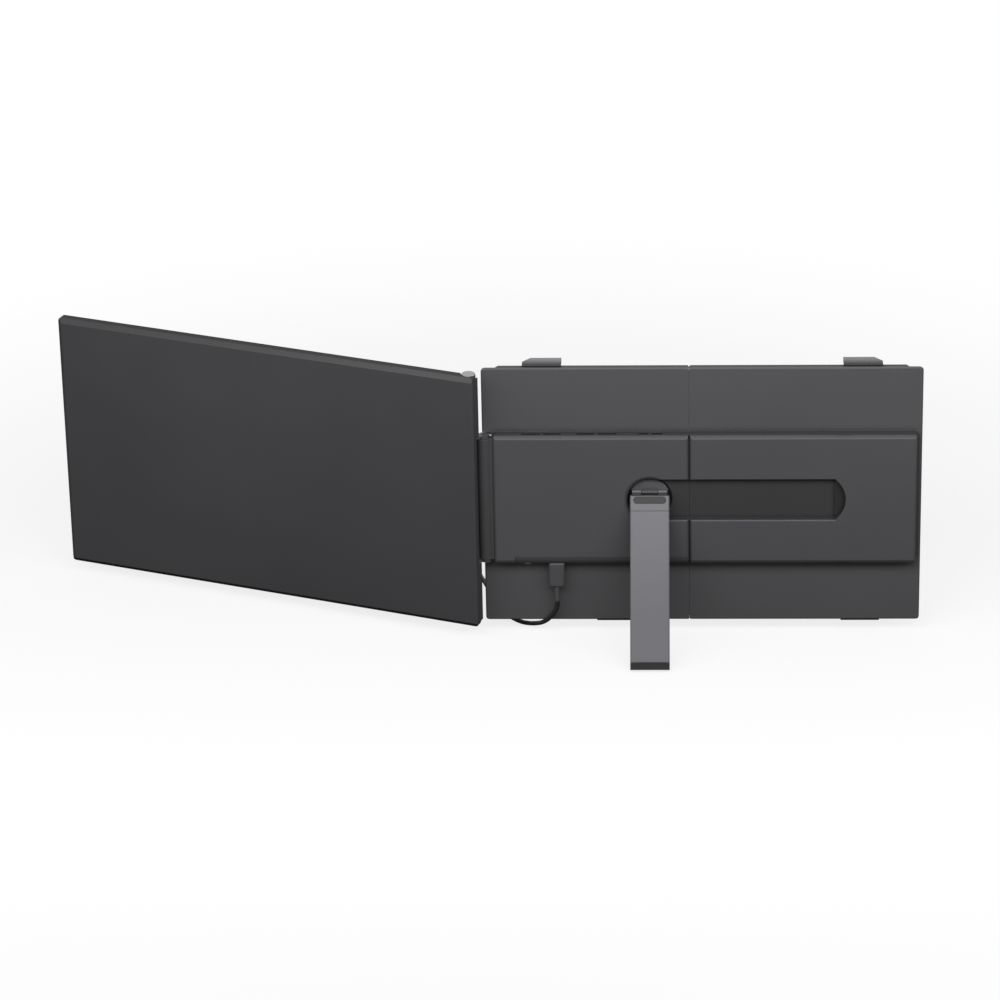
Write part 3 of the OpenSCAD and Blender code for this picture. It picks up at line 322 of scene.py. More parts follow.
def group_shell(name, inputs, outputs):
    """An empty shader group with named float, colour or vector sockets."""
    group = bpy.data.node_groups.new(name, "ShaderNodeTree")
    for title, kind, value in inputs:
        socket = group.interface.new_socket(name=title, in_out="INPUT",
                                            socket_type="NodeSocket" + kind)
        if value is not None:
            socket.default_value = value
    for title, kind in outputs:
        group.interface.new_socket(name=title, in_out="OUTPUT", socket_type="NodeSocket" + kind)
    return group, group.nodes.new("NodeGroupInput"), group.nodes.new("NodeGroupOutput")


def wire(tree, source, output, target, entry):
    """Links a node's output to another's input, by name or number."""
    tree.links.new(source.outputs[output], target.inputs[entry])


def spread(tree, source, output, low, high, to_low, to_high):
    """A Map Range node fed from an output."""
    node = tree.nodes.new("ShaderNodeMapRange")
    for entry, value in (("From Min", low), ("From Max", high), ("To Min", to_low),
                         ("To Max", to_high)):
        node.inputs[entry].default_value = value
    wire(tree, source, output, node, "Value")
    return node


def maths(tree, operation, first, second, clamp=False):
    """A Math node fed from two outputs, each a pair of a node and the output's name or number."""
    node = tree.nodes.new("ShaderNodeMath")
    node.operation = operation
    node.use_clamp = clamp
    wire(tree, *first, node, 0)
    wire(tree, *second, node, 1)
    return node


def colour_out(node):
    """The colour output of a Mix node."""
    return [s for s in node.outputs if s.type == "RGBA"][0]


def mixed(tree, factor, low, high):
    """A colour Mix node. factor is a pair of a node and an output. low and high are each a colour
    of four numbers or another Mix node."""
    node = tree.nodes.new("ShaderNodeMix")
    node.data_type = "RGBA"
    wire(tree, *factor, node, "Factor")
    for entry, source in (("A", low), ("B", high)):
        if isinstance(source, tuple):
            node.inputs[entry].default_value = source
        else:
            tree.links.new(colour_out(source), node.inputs[entry])
    return node


def use_group(tree, name, **values):
    """A node that uses a shared group. Its inputs take the values, with _ for a space in a name."""
    node = tree.nodes.new("ShaderNodeGroup")
    node.node_tree = bpy.data.node_groups[name]
    for entry, value in values.items():
        node.inputs[entry.replace("_", " ")].default_value = value
    return node


def moulded_grain():
    """Fine pebble grain of moulded or blasted surfaces: cells and noise give the height, and slow
    noise gives the clouds in tint and gloss."""
    group, entry, leave = group_shell(
        "moulded_grain",
        [("Vector", "Vector", None), ("Pebble Scale", "Float", 900.0),
         ("Cloud Scale", "Float", 9.0), ("Roughness", "Float", 0.55)],
        [("Height", "Float"), ("Tint", "Float"), ("Roughness", "Float")])
    pebbles = group.nodes.new("ShaderNodeTexVoronoi")
    specks = group.nodes.new("ShaderNodeTexNoise")
    clouds = group.nodes.new("ShaderNodeTexNoise")
    specks.inputs["Detail"].default_value = 3.0
    clouds.inputs["Detail"].default_value = 4.0
    for node, scale in ((pebbles, "Pebble Scale"), (specks, "Pebble Scale"),
                        (clouds, "Cloud Scale")):
        wire(group, entry, "Vector", node, "Vector")
        wire(group, entry, scale, node, "Scale")
    height = group.nodes.new("ShaderNodeMath")
    height.operation = "MULTIPLY_ADD"
    wire(group, pebbles, "Distance", height, 0)
    height.inputs[1].default_value = 0.6
    wire(group, specks, "Fac", height, 2)
    gloss = spread(group, clouds, "Fac", 0.3, 0.7, -0.05, 0.05)
    total = maths(group, "ADD", (entry, "Roughness"), (gloss, 0))
    tint = spread(group, clouds, "Fac", 0.3, 0.7, 0.0, 1.0)
    wire(group, height, 0, leave, "Height")
    wire(group, tint, 0, leave, "Tint")
    wire(group, total, 0, leave, "Roughness")
    return group


def brushed_lines():
    """Lines left by brushing or drawing: noise that is long along one axis of Vector, which the
    material stretches before it comes in."""
    group, entry, leave = group_shell(
        "brushed_lines", [("Vector", "Vector", None), ("Line Scale", "Float", 400.0),
                          ("Roughness", "Float", 0.35)],
        [("Height", "Float"), ("Tint", "Float"), ("Roughness", "Float")])
    lines = group.nodes.new("ShaderNodeTexNoise")
    lines.inputs["Detail"].default_value = 6.0
    wire(group, entry, "Vector", lines, "Vector")
    wire(group, entry, "Line Scale", lines, "Scale")
    gloss = spread(group, lines, "Fac", 0.3, 0.7, -0.07, 0.07)
    total = maths(group, "ADD", (entry, "Roughness"), (gloss, 0))
    tint = spread(group, lines, "Fac", 0.25, 0.75, 0.0, 1.0)
    wire(group, lines, "Fac", leave, "Height")
    wire(group, tint, 0, leave, "Tint")
    wire(group, total, 0, leave, "Roughness")
    return group


def edge_wear_and_highlight():
    """A mask of the places within Width of an edge, from how far a rounded normal leans away from
    the flat one, broken up by noise. The finishes lighten these places, partly as wear from
    handling and partly as painted highlight; the rounded normal also goes out."""
    group, entry, leave = group_shell(
        "edge_wear_and_highlight", [("Vector", "Vector", None), ("Width", "Float", 0.0006)],
        [("Mask", "Float"), ("Normal", "Vector")])
    rounded = group.nodes.new("ShaderNodeBevel")
    rounded.samples = 6
    wire(group, entry, "Width", rounded, "Radius")
    flat = group.nodes.new("ShaderNodeNewGeometry")
    lean = group.nodes.new("ShaderNodeVectorMath")
    lean.operation = "DOT_PRODUCT"
    wire(group, rounded, "Normal", lean, 0)
    wire(group, flat, "Normal", lean, 1)
    edge = spread(group, lean, "Value", 0.995, 0.8, 0.0, 1.0)
    noise = group.nodes.new("ShaderNodeTexNoise")
    noise.inputs["Scale"].default_value = 160.0
    noise.inputs["Detail"].default_value = 3.0
    wire(group, entry, "Vector", noise, "Vector")
    patches = spread(group, noise, "Fac", 0.35, 0.6, 0.55, 1.0)
    mask = maths(group, "MULTIPLY", (edge, 0), (patches, 0))
    wire(group, mask, 0, leave, "Mask")
    wire(group, rounded, "Normal", leave, "Normal")
    return group


def crevice_shade():
    """A value that falls from 1 in the open to Dark in narrow places of the same piece. The
    finishes mix towards black by it, which is painted shade."""
    group, entry, leave = group_shell(
        "crevice_shade", [("Reach", "Float", 0.004), ("Dark", "Float", 0.25)],
        [("Value", "Float")])
    near = group.nodes.new("ShaderNodeAmbientOcclusion")
    near.samples = 6
    near.only_local = True
    wire(group, entry, "Reach", near, "Distance")
    open_share = spread(group, near, "AO", 0.25, 0.9, 0.0, 1.0)
    wire(group, entry, "Dark", open_share, "To Min")
    wire(group, open_share, 0, leave, "Value")
    return group


def zone_mask():
    """1 between Low and High of a value, with an edge Soft wide, and 0 elsewhere."""
    group, entry, leave = group_shell(
        "zone_mask", [("Value", "Float", 0.0), ("Low", "Float", 0.0), ("High", "Float", 1.0),
                      ("Soft", "Float", 0.0002)], [("Mask", "Float")])
    rise = maths(group, "SUBTRACT", (entry, "Value"), (entry, "Low"))
    fall = maths(group, "SUBTRACT", (entry, "High"), (entry, "Value"))
    inner = maths(group, "MINIMUM", (rise, 0), (fall, 0))
    share = maths(group, "DIVIDE", (inner, 0), (entry, "Soft"), clamp=True)
    wire(group, share, 0, leave, "Mask")
    return group


def shade(colour, amount):
    """A colour made lighter or darker by a share of itself, as four numbers."""
    return tuple(min(1.0, c * (1 + amount)) for c in colour) + (1.0,)


def finish(name, colour, roughness=0.55, metallic=0.0, pattern="moulded_grain", scale=900.0,
           cloud=9.0, bump=0.05, depth=0.00004, variation=0.05, wear_and_highlight=0.0, edge_width=0.0006,
           stretch=(1, 1, 1), coat=0.0, specular=0.5, crevice=0.0, zones=()):
    """A material whose colour drifts between two shades of one colour, with grain or brushed lines
    in its bump and gloss. An edge share above 0 gives lighter edges within the edge width, partly
    wear from handling and partly painted highlight, and crevice above 0 is the width in metres of
    the narrow places that get painted shade. A zone is another colour within limits, in
    millimetres, of the object's own coordinates, given as (colour, {axis: (low, high)}, soft); the
    zones here are painted shade, except one seam's own colour."""
    material = bpy.data.materials.new(name)
    material.use_nodes = True
    tree = material.node_tree
    body = tree.nodes["Principled BSDF"]
    body.inputs["Metallic"].default_value = metallic
    body.inputs["Coat Weight"].default_value = coat
    body.inputs["Coat Roughness"].default_value = 0.25
    body.inputs["Specular IOR Level"].default_value = specular
    place = tree.nodes.new("ShaderNodeTexCoord")
    mapping = tree.nodes.new("ShaderNodeMapping")
    mapping.inputs["Scale"].default_value = stretch
    wire(tree, place, "Object", mapping, "Vector")
    if pattern == "moulded_grain":
        grain = use_group(tree, pattern, Roughness=roughness, Pebble_Scale=scale,
                          Cloud_Scale=cloud)
    else:
        grain = use_group(tree, pattern, Roughness=roughness, Line_Scale=scale)
    wire(tree, mapping, "Vector", grain, "Vector")
    last = mixed(tree, (grain, "Tint"), shade(colour, -variation), shade(colour, variation))
    relief = tree.nodes.new("ShaderNodeBump")
    relief.inputs["Strength"].default_value = bump
    relief.inputs["Distance"].default_value = depth
    wire(tree, grain, "Height", relief, "Height")
    # Lighter edges: partly wear from handling and partly painted highlight
    if wear_and_highlight > 0:
        edge = use_group(tree, "edge_wear_and_highlight", Width=edge_width)
        wire(tree, place, "Object", edge, "Vector")
        wire(tree, edge, "Normal", relief, "Normal")
        last = mixed(tree, (edge, "Mask"), last, shade(colour, wear_and_highlight))
    if zones:
        apart = tree.nodes.new("ShaderNodeSeparateXYZ")
        wire(tree, place, "Object", apart, "Vector")
    for paint, limits, soft in zones:
        mask = None
        for axis, (low, high) in limits.items():
            part = use_group(tree, "zone_mask", Low=low * MM, High=high * MM, Soft=soft * MM)
            wire(tree, apart, axis, part, "Value")
            mask = part if mask is None else maths(tree, "MULTIPLY", (mask, 0), (part, 0))
        last = mixed(tree, (mask, 0), last, shade(paint, 0))
    # Painted shade: black mixed in where the piece is narrow
    if crevice > 0:
        dim = use_group(tree, "crevice_shade", Reach=crevice, Dark=0.12)
        last = mixed(tree, (dim, 0), shade(SHADE_BLACK, 0), last)
    tree.links.new(colour_out(last), body.inputs["Base Color"])
    wire(tree, grain, "Roughness", body, "Roughness")
    wire(tree, relief, "Normal", body, "Normal")
    return material


def dress(material, *nodes):
    """Gives one finish to CAD nodes, whose own slots take it."""
    for name in nodes:
        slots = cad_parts[name].data.materials
        slots.clear()
        slots.append(material)


def give(piece, material, body):
    """Gives a new piece its finish and the body it rides on."""
    piece.data.materials.append(material)
    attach(piece, body)
    return piece


def placed(side, top, back, spot):
    """A matrix from three unit vectors and a place."""
    matrix = Matrix.Identity(4)
    for row in range(3):
        for column, axis in enumerate((side, top, back, spot)):
            matrix[row][column] = axis[row]
    return matrix


# Operators

class EXTENDER_OT_camera(bpy.types.Operator):
    """Put the camera where the photograph was taken from."""

    bl_idname = "extender.camera"
    bl_label = "Camera"

    def execute(self, context):
        az, el, roll = [math.radians(v) for v in (AZIMUTH, ELEVATION, ROLL)]
        back = np.array([math.sin(az) * math.cos(el), -math.cos(az) * math.cos(el), math.sin(el)])
        right = np.cross(-back, (0, 0, 1.0))
        right /= np.linalg.norm(right)
        up = np.cross(right, -back)
        side = right * math.cos(roll) + up * math.sin(roll)
        top = up * math.cos(roll) - right * math.sin(roll)
        data = bpy.data.cameras.new("photo_camera")
        data.sensor_width = SENSOR
        data.lens = SENSOR * FOCAL_PIXELS / PHOTO_PIXELS
        data.clip_start = 0.1
        data.clip_end = 50.0
        camera = bpy.data.objects.new("photo_camera", data)
        spot = MM * (np.array(AIM) + back * DISTANCE)
        camera.matrix_world = placed(side, top, back, spot)
        context.scene.collection.objects.link(camera)
        context.scene.camera = camera
        return {"FINISHED"}


class EXTENDER_OT_groups(bpy.types.Operator):
    """Build the shader groups that the finishes share."""

    bl_idname = "extender.groups"
    bl_label = "Shader groups"

    def execute(self, context):
        moulded_grain()
        brushed_lines()
        edge_wear_and_highlight()
        crevice_shade()
        zone_mask()
        return {"FINISHED"}


class EXTENDER_OT_lead(bpy.types.Operator):
    """Sweep the lead along its route and coil, and tie the coil."""

    bl_idname = "extender.lead"
    bl_label = "Lead, coil and tie"

    def execute(self, context):
        sizes, colours = context.scene.extender_sizes, context.scene.extender_colours
        line = lead_line()
        lead = put_grid("lead", tube_points(line, sizes.lead_diameter / 2, CORD_SIDES))
        jacket = finish("lead_jacket", tuple(colours.lead), roughness=0.42, scale=1500.0,
                        cloud=60.0, bump=0.04, variation=0.12, specular=0.5)
        give(lead, jacket, "left_half")
        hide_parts("lead_cord", "lead_coil")
        length = float(np.linalg.norm(np.diff(line, axis=0), axis=1).sum())

        # The tie is a flat band carried round a rectangle with round corners
        inner = COIL_RADII[1] - CORD_RADIUS
        low = COIL_MIDDLE[1] + math.sqrt(inner ** 2 - TIE_HALF ** 2) - TIE_GAP
        high = COIL_MIDDLE[1] + COIL_RADII[0] - COIL_PITCH / 4 + CORD_RADIUS + TIE_GAP
        bottom, top = TABLE + TIE_LIFT, COIL_MIDDLE[2] + COIL_RISE + CORD_RADIUS + TIE_GAP
        loop, outer = [self.round_rectangle(low - t, high + t, bottom - t, top + t, TIE_ROUND + t,
                                            12) for t in (0, TIE_THICK)]
        rows = []
        for outline, x in ((loop, -TIE_HALF), (outer, -TIE_HALF + TIE_BEVEL),
                           (outer, TIE_HALF - TIE_BEVEL), (loop, TIE_HALF)):
            rows.append(np.column_stack([np.full(len(outline), COIL_MIDDLE[0] + x), outline]))
        band = MM * np.stack(rows)
        tie = put_grid("coil_tie", band, loop_rows=True, flip=True)
        weave = finish("tie_band", (0.02, 0.02, 0.021), roughness=0.75, scale=2600.0, cloud=80.0,
                       bump=0.3, depth=0.0001, variation=0.15)
        give(tie, weave, "left_half")
        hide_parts("lead_tie")
        context.scene["lead_length"] = length
        return {"FINISHED"}

    @staticmethod
    def round_rectangle(y0, y1, z0, z1, r, count):
        """An outline in y and z: four quarter circles of count points, joined by straight runs."""
        turn = np.linspace(0, math.pi / 2, count)
        corners = ((y1 - r, z1 - r, 0), (y0 + r, z1 - r, 1), (y0 + r, z0 + r, 2),
                   (y1 - r, z0 + r, 3))
        return np.vstack([np.column_stack([y + r * np.cos(turn + q * math.pi / 2),
                                           z + r * np.sin(turn + q * math.pi / 2)])
                          for y, z, q in corners])


class EXTENDER_OT_plugs(bpy.types.Operator):
    """Loft the two plugs' grips and sleeves and the far plug's hollow shell."""

    bl_idname = "extender.plugs"
    bl_label = "Plugs"

    def grip(self, name, sizes, sleeve, matrix):
        """Superellipse sections down the grip, drawn in at both ends, then a round tapered sleeve
        with shallow rings. A section is a width, a depth, a power and a height."""
        w, d, n = sizes.grip_width, sizes.grip_depth, sizes.grip_length
        cord = sizes.lead_diameter / 2
        nose, steps, rings, sleeve_steps = 0.0014, 9, 5, 24
        sections = [(w * share, d * (1 - (1 - share) * 1.6), 4.2, -drop) for share, drop in (
            (0.80, 0.0), (0.93, 0.00025), (0.985, 0.0007), (1.0, nose))]
        for s in np.arange(1, steps) / steps:
            sections.append((w * (1 - 0.035 * s), d * (1 - 0.05 * s), 4.2,
                             -nose - (n - 2 * nose) * s))
        for share, drop in ((0.955, 0.0010), (0.93, 0.0005), (0.85, 0.00015), (0.72, 0.0)):
            sections.append((w * share, d * share, 4.0, -n + drop))
        top, bottom = cord + 0.00045, cord + 0.00015
        for s in np.arange(sleeve_steps + 1) / sleeve_steps:
            groove = 0.00012 * max(0.0, math.sin(rings * 2 * math.pi * s)) * (s < 0.85)
            r = 2 * (top + (bottom - top) * s - groove)
            sections.append((r, r, 2.0, -n - sleeve * s))
        sections.append((2 * cord, 2 * cord, 2.0, -n - sleeve))
        outlines = [superellipse(*section[:3], PLUG_SIDES) for section in sections]
        points = loft(outlines, [section[3] for section in sections])
        return put_grid(name, turned(points, matrix), flip=True)

    def shell(self, name, matrix):
        """A hollow pill: out along the outer wall, over a rounded lip, and back along the inner
        wall to a floor, with a flat tongue inside."""
        sections = ((8.25, 2.35, -0.9), (8.25, 2.35, 6.4), (8.15, 2.25, 6.6), (7.95, 2.05, 6.65),
                    (7.75, 1.85, 6.55), (7.7, 1.8, 6.3), (7.7, 1.8, 1.5))
        outer = loft([pill(w * MM, d * MM, 48) for w, d, h in sections],
                     [h * MM for w, d, h in sections])
        piece = put_grid(name, turned(outer, matrix))
        leaf = ((6.6, 0.7, 1.2), (6.6, 0.7, 5.4), (6.4, 0.55, 5.6), (6.0, 0.3, 5.7))
        tongue = loft([superellipse(w * MM, d * MM, 6, 40) for w, d, h in leaf],
                      [h * MM for w, d, h in leaf])
        return piece, put_grid(name + "_tongue", turned(tongue, matrix))

    def execute(self, context):
        sizes, colours = context.scene.extender_sizes, context.scene.extender_colours
        moulding = finish("plug_moulding", tuple(colours.grip), roughness=0.5, scale=1400.0,
                          cloud=40.0, bump=0.06, variation=0.06)
        plated = finish("plated_shell", (0.55, 0.55, 0.56), roughness=0.28, metallic=1.0,
                        pattern="brushed_lines", scale=900.0, stretch=(1, 0.08, 1), bump=0.02,
                        variation=0.05)
        leaf = finish("contact_leaf", (0.03, 0.03, 0.032), roughness=0.5, scale=2500.0, cloud=200.0,
                      bump=0.02, variation=0.1)
        near, far = [Matrix.Translation([v * MM for v in place]) for place in (PORT, FAR_PLUG)]
        far = far @ Matrix.Rotation(math.radians(90), 4, "X")
        hub = self.grip("hub_plug", sizes, HUB_SLEEVE * MM, near)
        give(hub, moulding, "left_half")
        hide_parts("hub_plug_grip")
        end = self.grip("far_plug", sizes, FAR_SLEEVE * MM, far)
        give(end, moulding, "left_half")
        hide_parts("far_plug_grip")
        metal, tongue = self.shell("far_shell", far)
        give(metal, plated, "left_half")
        give(tongue, leaf, "left_half")
        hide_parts("far_plug_shell")
        dress(plated, "hub_plug_shell", "usb_port")
        return {"FINISHED"}


class EXTENDER_OT_springs(bpy.types.Operator):
    """Wind the two claws' return springs."""

    bl_idname = "extender.springs"
    bl_label = "Claw springs"

    def execute(self, context):
        turns, wire_radius = context.scene.extender_sizes.spring_turns, 0.0002
        wire_metal = finish("spring_wire", (0.42, 0.42, 0.44), roughness=0.3, metallic=1.0,
                            scale=1500.0, cloud=120.0, bump=0.02, variation=0.06)
        for side, body in (("left", "left_half"), ("right", "right_half")):
            node = "claw_spring_" + side
            low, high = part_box(node)
            x, y = (low.x + high.x) / 2, (low.y + high.y) / 2
            radius = (high.x - low.x) / 2 - wire_radius
            share = np.linspace(0, 1, turns * 14 + 1)
            angle = 2 * math.pi * turns * share
            height = low.z + wire_radius + (high.z - low.z - 2 * wire_radius) * share
            line = np.stack([x + radius * np.cos(angle), y + radius * np.sin(angle), height], 1)
            coil = put_grid(side + "_claw_coil", tube_points(line, wire_radius, 6, (0, 0, 1)))
            give(coil, wire_metal, body)
            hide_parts(node)
        return {"FINISHED"}


class EXTENDER_OT_screws(bpy.types.Operator):
    """Turn the small screws that close the plate, with a round recess in each head."""

    bl_idname = "extender.screws"
    bl_label = "Plate screws"

    def execute(self, context):
        steel = finish("black_screw", (0.05, 0.05, 0.052), roughness=0.35, metallic=0.9,
                       scale=1800.0, cloud=150.0, bump=0.03, variation=0.1)
        # Radius and height in millimetres: the shank, the head's edge, and in to the recess
        profile = [(0.0, -3.1), (0.75, -3.1), (0.78, -0.75), (1.62, -0.72), (1.66, -0.66),
                   (1.66, -0.16), (1.58, -0.06), (1.42, -0.02), (0.85, -0.02), (0.7, -0.12),
                   (0.45, -0.4), (0.0, -0.55)]
        for side, body in (("left", "left_half"), ("right", "right_half")):
            node = side + "_shell_screws"
            low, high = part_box(node)
            inset = SCREW_INSET * MM
            xs = (low.x + inset, high.x - inset)
            tops = (high.z - inset, INNER_ROW * PLATE_HALF * MM)
            spots = [(x, -SCREW_SUNK * MM, s * z) for x in xs for z in tops for s in (-1, 1)]
            points, faces = revolve([(r * MM, h * MM) for r, h in profile], spots, 24, (0, 1, 0))
            screws = put_mesh(side + "_plate_screws", points, faces, smooth=False)
            give(screws, steel, body)
            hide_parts(node)
        return {"FINISHED"}


class EXTENDER_OT_display(bpy.types.Operator):
    """Finish the display: its housing, bezel, screen and barrel."""

    bl_idname = "extender.display"
    bl_label = "Display finishes"

    def execute(self, context):
        colours = context.scene.extender_colours
        # Painted shade: black along the housing's bottom edge and a darker grey along its top edge
        housing = finish("housing_texture", tuple(colours.housing), roughness=0.52, scale=1100.0,
                         cloud=7.0, bump=0.07, variation=0.04, wear_and_highlight=0.5, edge_width=0.0007,
                         zones=[(SHADE_BLACK, {"Z": (-110, -98.9)}, 0.5),
                                (TOP_EDGE_SHADE, {"Z": (98.5, 110)}, 0.8)])
        dress(housing, "display_back_cover", "display_spine")
        bezel = finish("bezel_texture", (0.014, 0.014, 0.015), roughness=0.5, scale=1300.0,
                       cloud=12.0, bump=0.05, variation=0.08, wear_and_highlight=0.5, edge_width=0.0005)
        dress(bezel, "display_bezel")
        screen = finish("screen_film", (0.008, 0.008, 0.0095), roughness=0.16, scale=3000.0,
                        cloud=5.0, bump=0.01, variation=0.15, coat=0.6)
        dress(screen, "screen_glass", "lcd_panel")
        sheet = finish("diffuser_sheet", (0.8, 0.8, 0.82), roughness=0.6, scale=2000.0, cloud=30.0,
                       bump=0.02, variation=0.03)
        dress(sheet, "backlight")
        board = finish("solder_mask", (0.012, 0.07, 0.035), roughness=0.35, scale=700.0,
                       cloud=220.0, bump=0.1, variation=0.35, coat=0.3)
        dress(board, "driver_board", "hub_board")
        cap = finish("cap_metal", (0.49, 0.49, 0.51), roughness=0.38, metallic=0.35, scale=1800.0,
                     cloud=90.0, bump=0.03, variation=0.05, wear_and_highlight=0.3, edge_width=0.0004)
        dress(cap, "barrel_caps")
        return {"FINISHED"}


class EXTENDER_OT_bracket(bpy.types.Operator):
    """Finish the bracket's shells, band, hinge and inner parts."""

    bl_idname = "extender.bracket"
    bl_label = "Bracket finishes"

    def execute(self, context):
        colours = context.scene.extender_colours
        # Painted shade: darker on the plate's part that rises towards the band, and black in its
        # bay under the band
        walls = ((0.045, 0.045, 0.047), {"Y": (-30, -5.5)}, 0.6)
        bay = (SHADE_BLACK, {"X": (-113.5, 195), "Y": (-14, -5.6), "Z": (-51.9, 51.9)}, 0.15)
        moulded = dict(roughness=0.5, scale=1100.0, cloud=6.0, bump=0.07, variation=0.035)
        plate = finish("plate_texture", tuple(colours.plate), wear_and_highlight=0.35, crevice=0.005,
                       zones=[walls, bay], **moulded)
        dress(plate, "left_rear_shell", "right_rear_shell", "left_front_cover",
              "right_front_cover")
        # The band's slot with its round end and deep places, its seam and its upper rim. All but
        # the seam are painted shade: darker in the slot, darker still at its round end, near-black
        # in the deep places, and a darker grey on the upper rim
        slot = ((0.040, 0.040, 0.042), {"Y": (-13.6, 0)}, 0.6)
        scoop = ((0.024, 0.024, 0.025), {"Y": (-13.6, 0), "X": (137.2, 150)}, 0.6)
        recess = (RECESS_SHADE, {"Y": (-9.0, 0), "X": (-25, 17.5)}, 0.3)
        within = (DEEP_SHADE, {"Y": (-12.7, 0), "Z": (17.5, 60)}, 0.3)
        joint = ((0.070, 0.070, 0.073), {"X": (26.4, 31.4), "Y": (-15, -12)}, 0.6)
        rim = (TOP_EDGE_SHADE, {"Z": (49.8, 60)}, 1.2)
        band = finish("band_texture", tuple(colours.band), wear_and_highlight=0.3, crevice=0.004,
                      zones=[rim, joint, slot, scoop, recess, within], **moulded)
        dress(band, "left_band_cover", "right_band_cover")
        knuckle = finish("knuckle_texture", (0.055, 0.055, 0.058), roughness=0.5, scale=1100.0,
                         cloud=20.0, bump=0.07, variation=0.05, wear_and_highlight=0.3, edge_width=0.0005)
        dress(knuckle, "hinge_knuckle")
        steel = finish("hinge_steel", (0.30, 0.30, 0.31), roughness=0.34, metallic=0.9,
                       pattern="brushed_lines", scale=1400.0, stretch=(1, 1, 0.15), bump=0.03,
                       variation=0.08)
        dress(steel, "hinge_links", "hinge_pin_display", "hinge_pin_bracket", "knuckle_screws",
              "board_screws", "swivel_washer", "swivel_screw", "rail_screws")
        guide = finish("guide_plastic", (0.02, 0.02, 0.021), roughness=0.45, scale=1500.0,
                       cloud=30.0, bump=0.03, variation=0.08)
        dress(guide, "left_rail_guides", "power_switch")
        rubber = finish("soft_rubber", (0.022, 0.022, 0.023), roughness=0.82, scale=2200.0,
                        cloud=40.0, bump=0.2, depth=0.0001, variation=0.1, specular=0.3)
        dress(rubber, "left_lid_pads", "right_lid_pads", "claw_pad_left", "claw_pad_right",
              "hook_pad_left", "hook_pad_right")
        rails = finish("rail_metal", (0.5, 0.5, 0.52), roughness=0.34, metallic=0.9,
                       pattern="brushed_lines", scale=900.0, stretch=(0.04, 1, 1), bump=0.03,
                       variation=0.06)
        dress(rails, "slide_rails")
        button = finish("button_metal", (0.36, 0.36, 0.38), roughness=0.36, metallic=0.4,
                        scale=1800.0, cloud=200.0, bump=0.03, variation=0.06, wear_and_highlight=0.3,
                        edge_width=0.0003)
        dress(button, "power_button")
        return {"FINISHED"}


class EXTENDER_OT_stand(bpy.types.Operator):
    """Finish the claws and the kickstand."""

    bl_idname = "extender.stand"
    bl_label = "Claw and stand finishes"

    def execute(self, context):
        colours = context.scene.extender_colours
        blasted = dict(roughness=0.45, scale=1500.0, cloud=14.0, bump=0.06, variation=0.03,
                       metallic=0.15)
        leg = finish("blasted_leg", tuple(colours.leg), wear_and_highlight=0.1, edge_width=0.0014, **blasted)
        dress(leg, "leg_blade")
        # Painted shade: near-black across the hinge ears, in the gap above the leg
        ears = (DEEP_SHADE, {"Z": (3.9, 6.6)}, 0.2)
        head = finish("blasted_head", tuple(colours.leg), wear_and_highlight=0.14, edge_width=0.0008,
                      zones=[ears], **blasted)
        dress(head, "leg_knuckle")
        # Painted shade: the claws and hooks are darker towards the bracket's front, over a wide
        # soft edge
        low_side = ((0.043, 0.043, 0.045), {"Y": (-30, 4.6)}, 9.0)
        claw = finish("blasted_claw", tuple(colours.claw), wear_and_highlight=0.15, edge_width=0.0018,
                      zones=[low_side], **blasted)
        dress(claw, "claw_left", "claw_right", "hook_left", "hook_right")
        # Painted shade: near-black on the disc below its chord, in the recess round the hinge, and
        # in its narrow places
        disc = finish("disc_paint", (0.096, 0.094, 0.104), roughness=0.48, scale=1400.0, cloud=30.0,
                      bump=0.06, variation=0.05, wear_and_highlight=0.2, edge_width=0.0005, crevice=0.003,
                      zones=[(RECESS_SHADE, {"Z": (-30, 6.4)}, 0.3)])
        dress(disc, "swivel_disc")
        inlay = finish("inlay_plastic", (0.035, 0.034, 0.037), roughness=0.55, scale=1600.0,
                       cloud=60.0, bump=0.05, variation=0.05)
        dress(inlay, "leg_insert")
        foot = finish("foot_rubber", (0.027, 0.027, 0.028), roughness=0.8, scale=2200.0, cloud=60.0,
                      bump=0.2, depth=0.0001, variation=0.1, specular=0.3)
        dress(foot, "foot_pad")
        pin = finish("pin_metal", (0.03, 0.03, 0.031), roughness=0.35, metallic=0.6,
                     pattern="brushed_lines", scale=1500.0, stretch=(0.1, 1, 1), bump=0.02,
                     variation=0.05)
        dress(pin, "stand_pin")
        return {"FINISHED"}


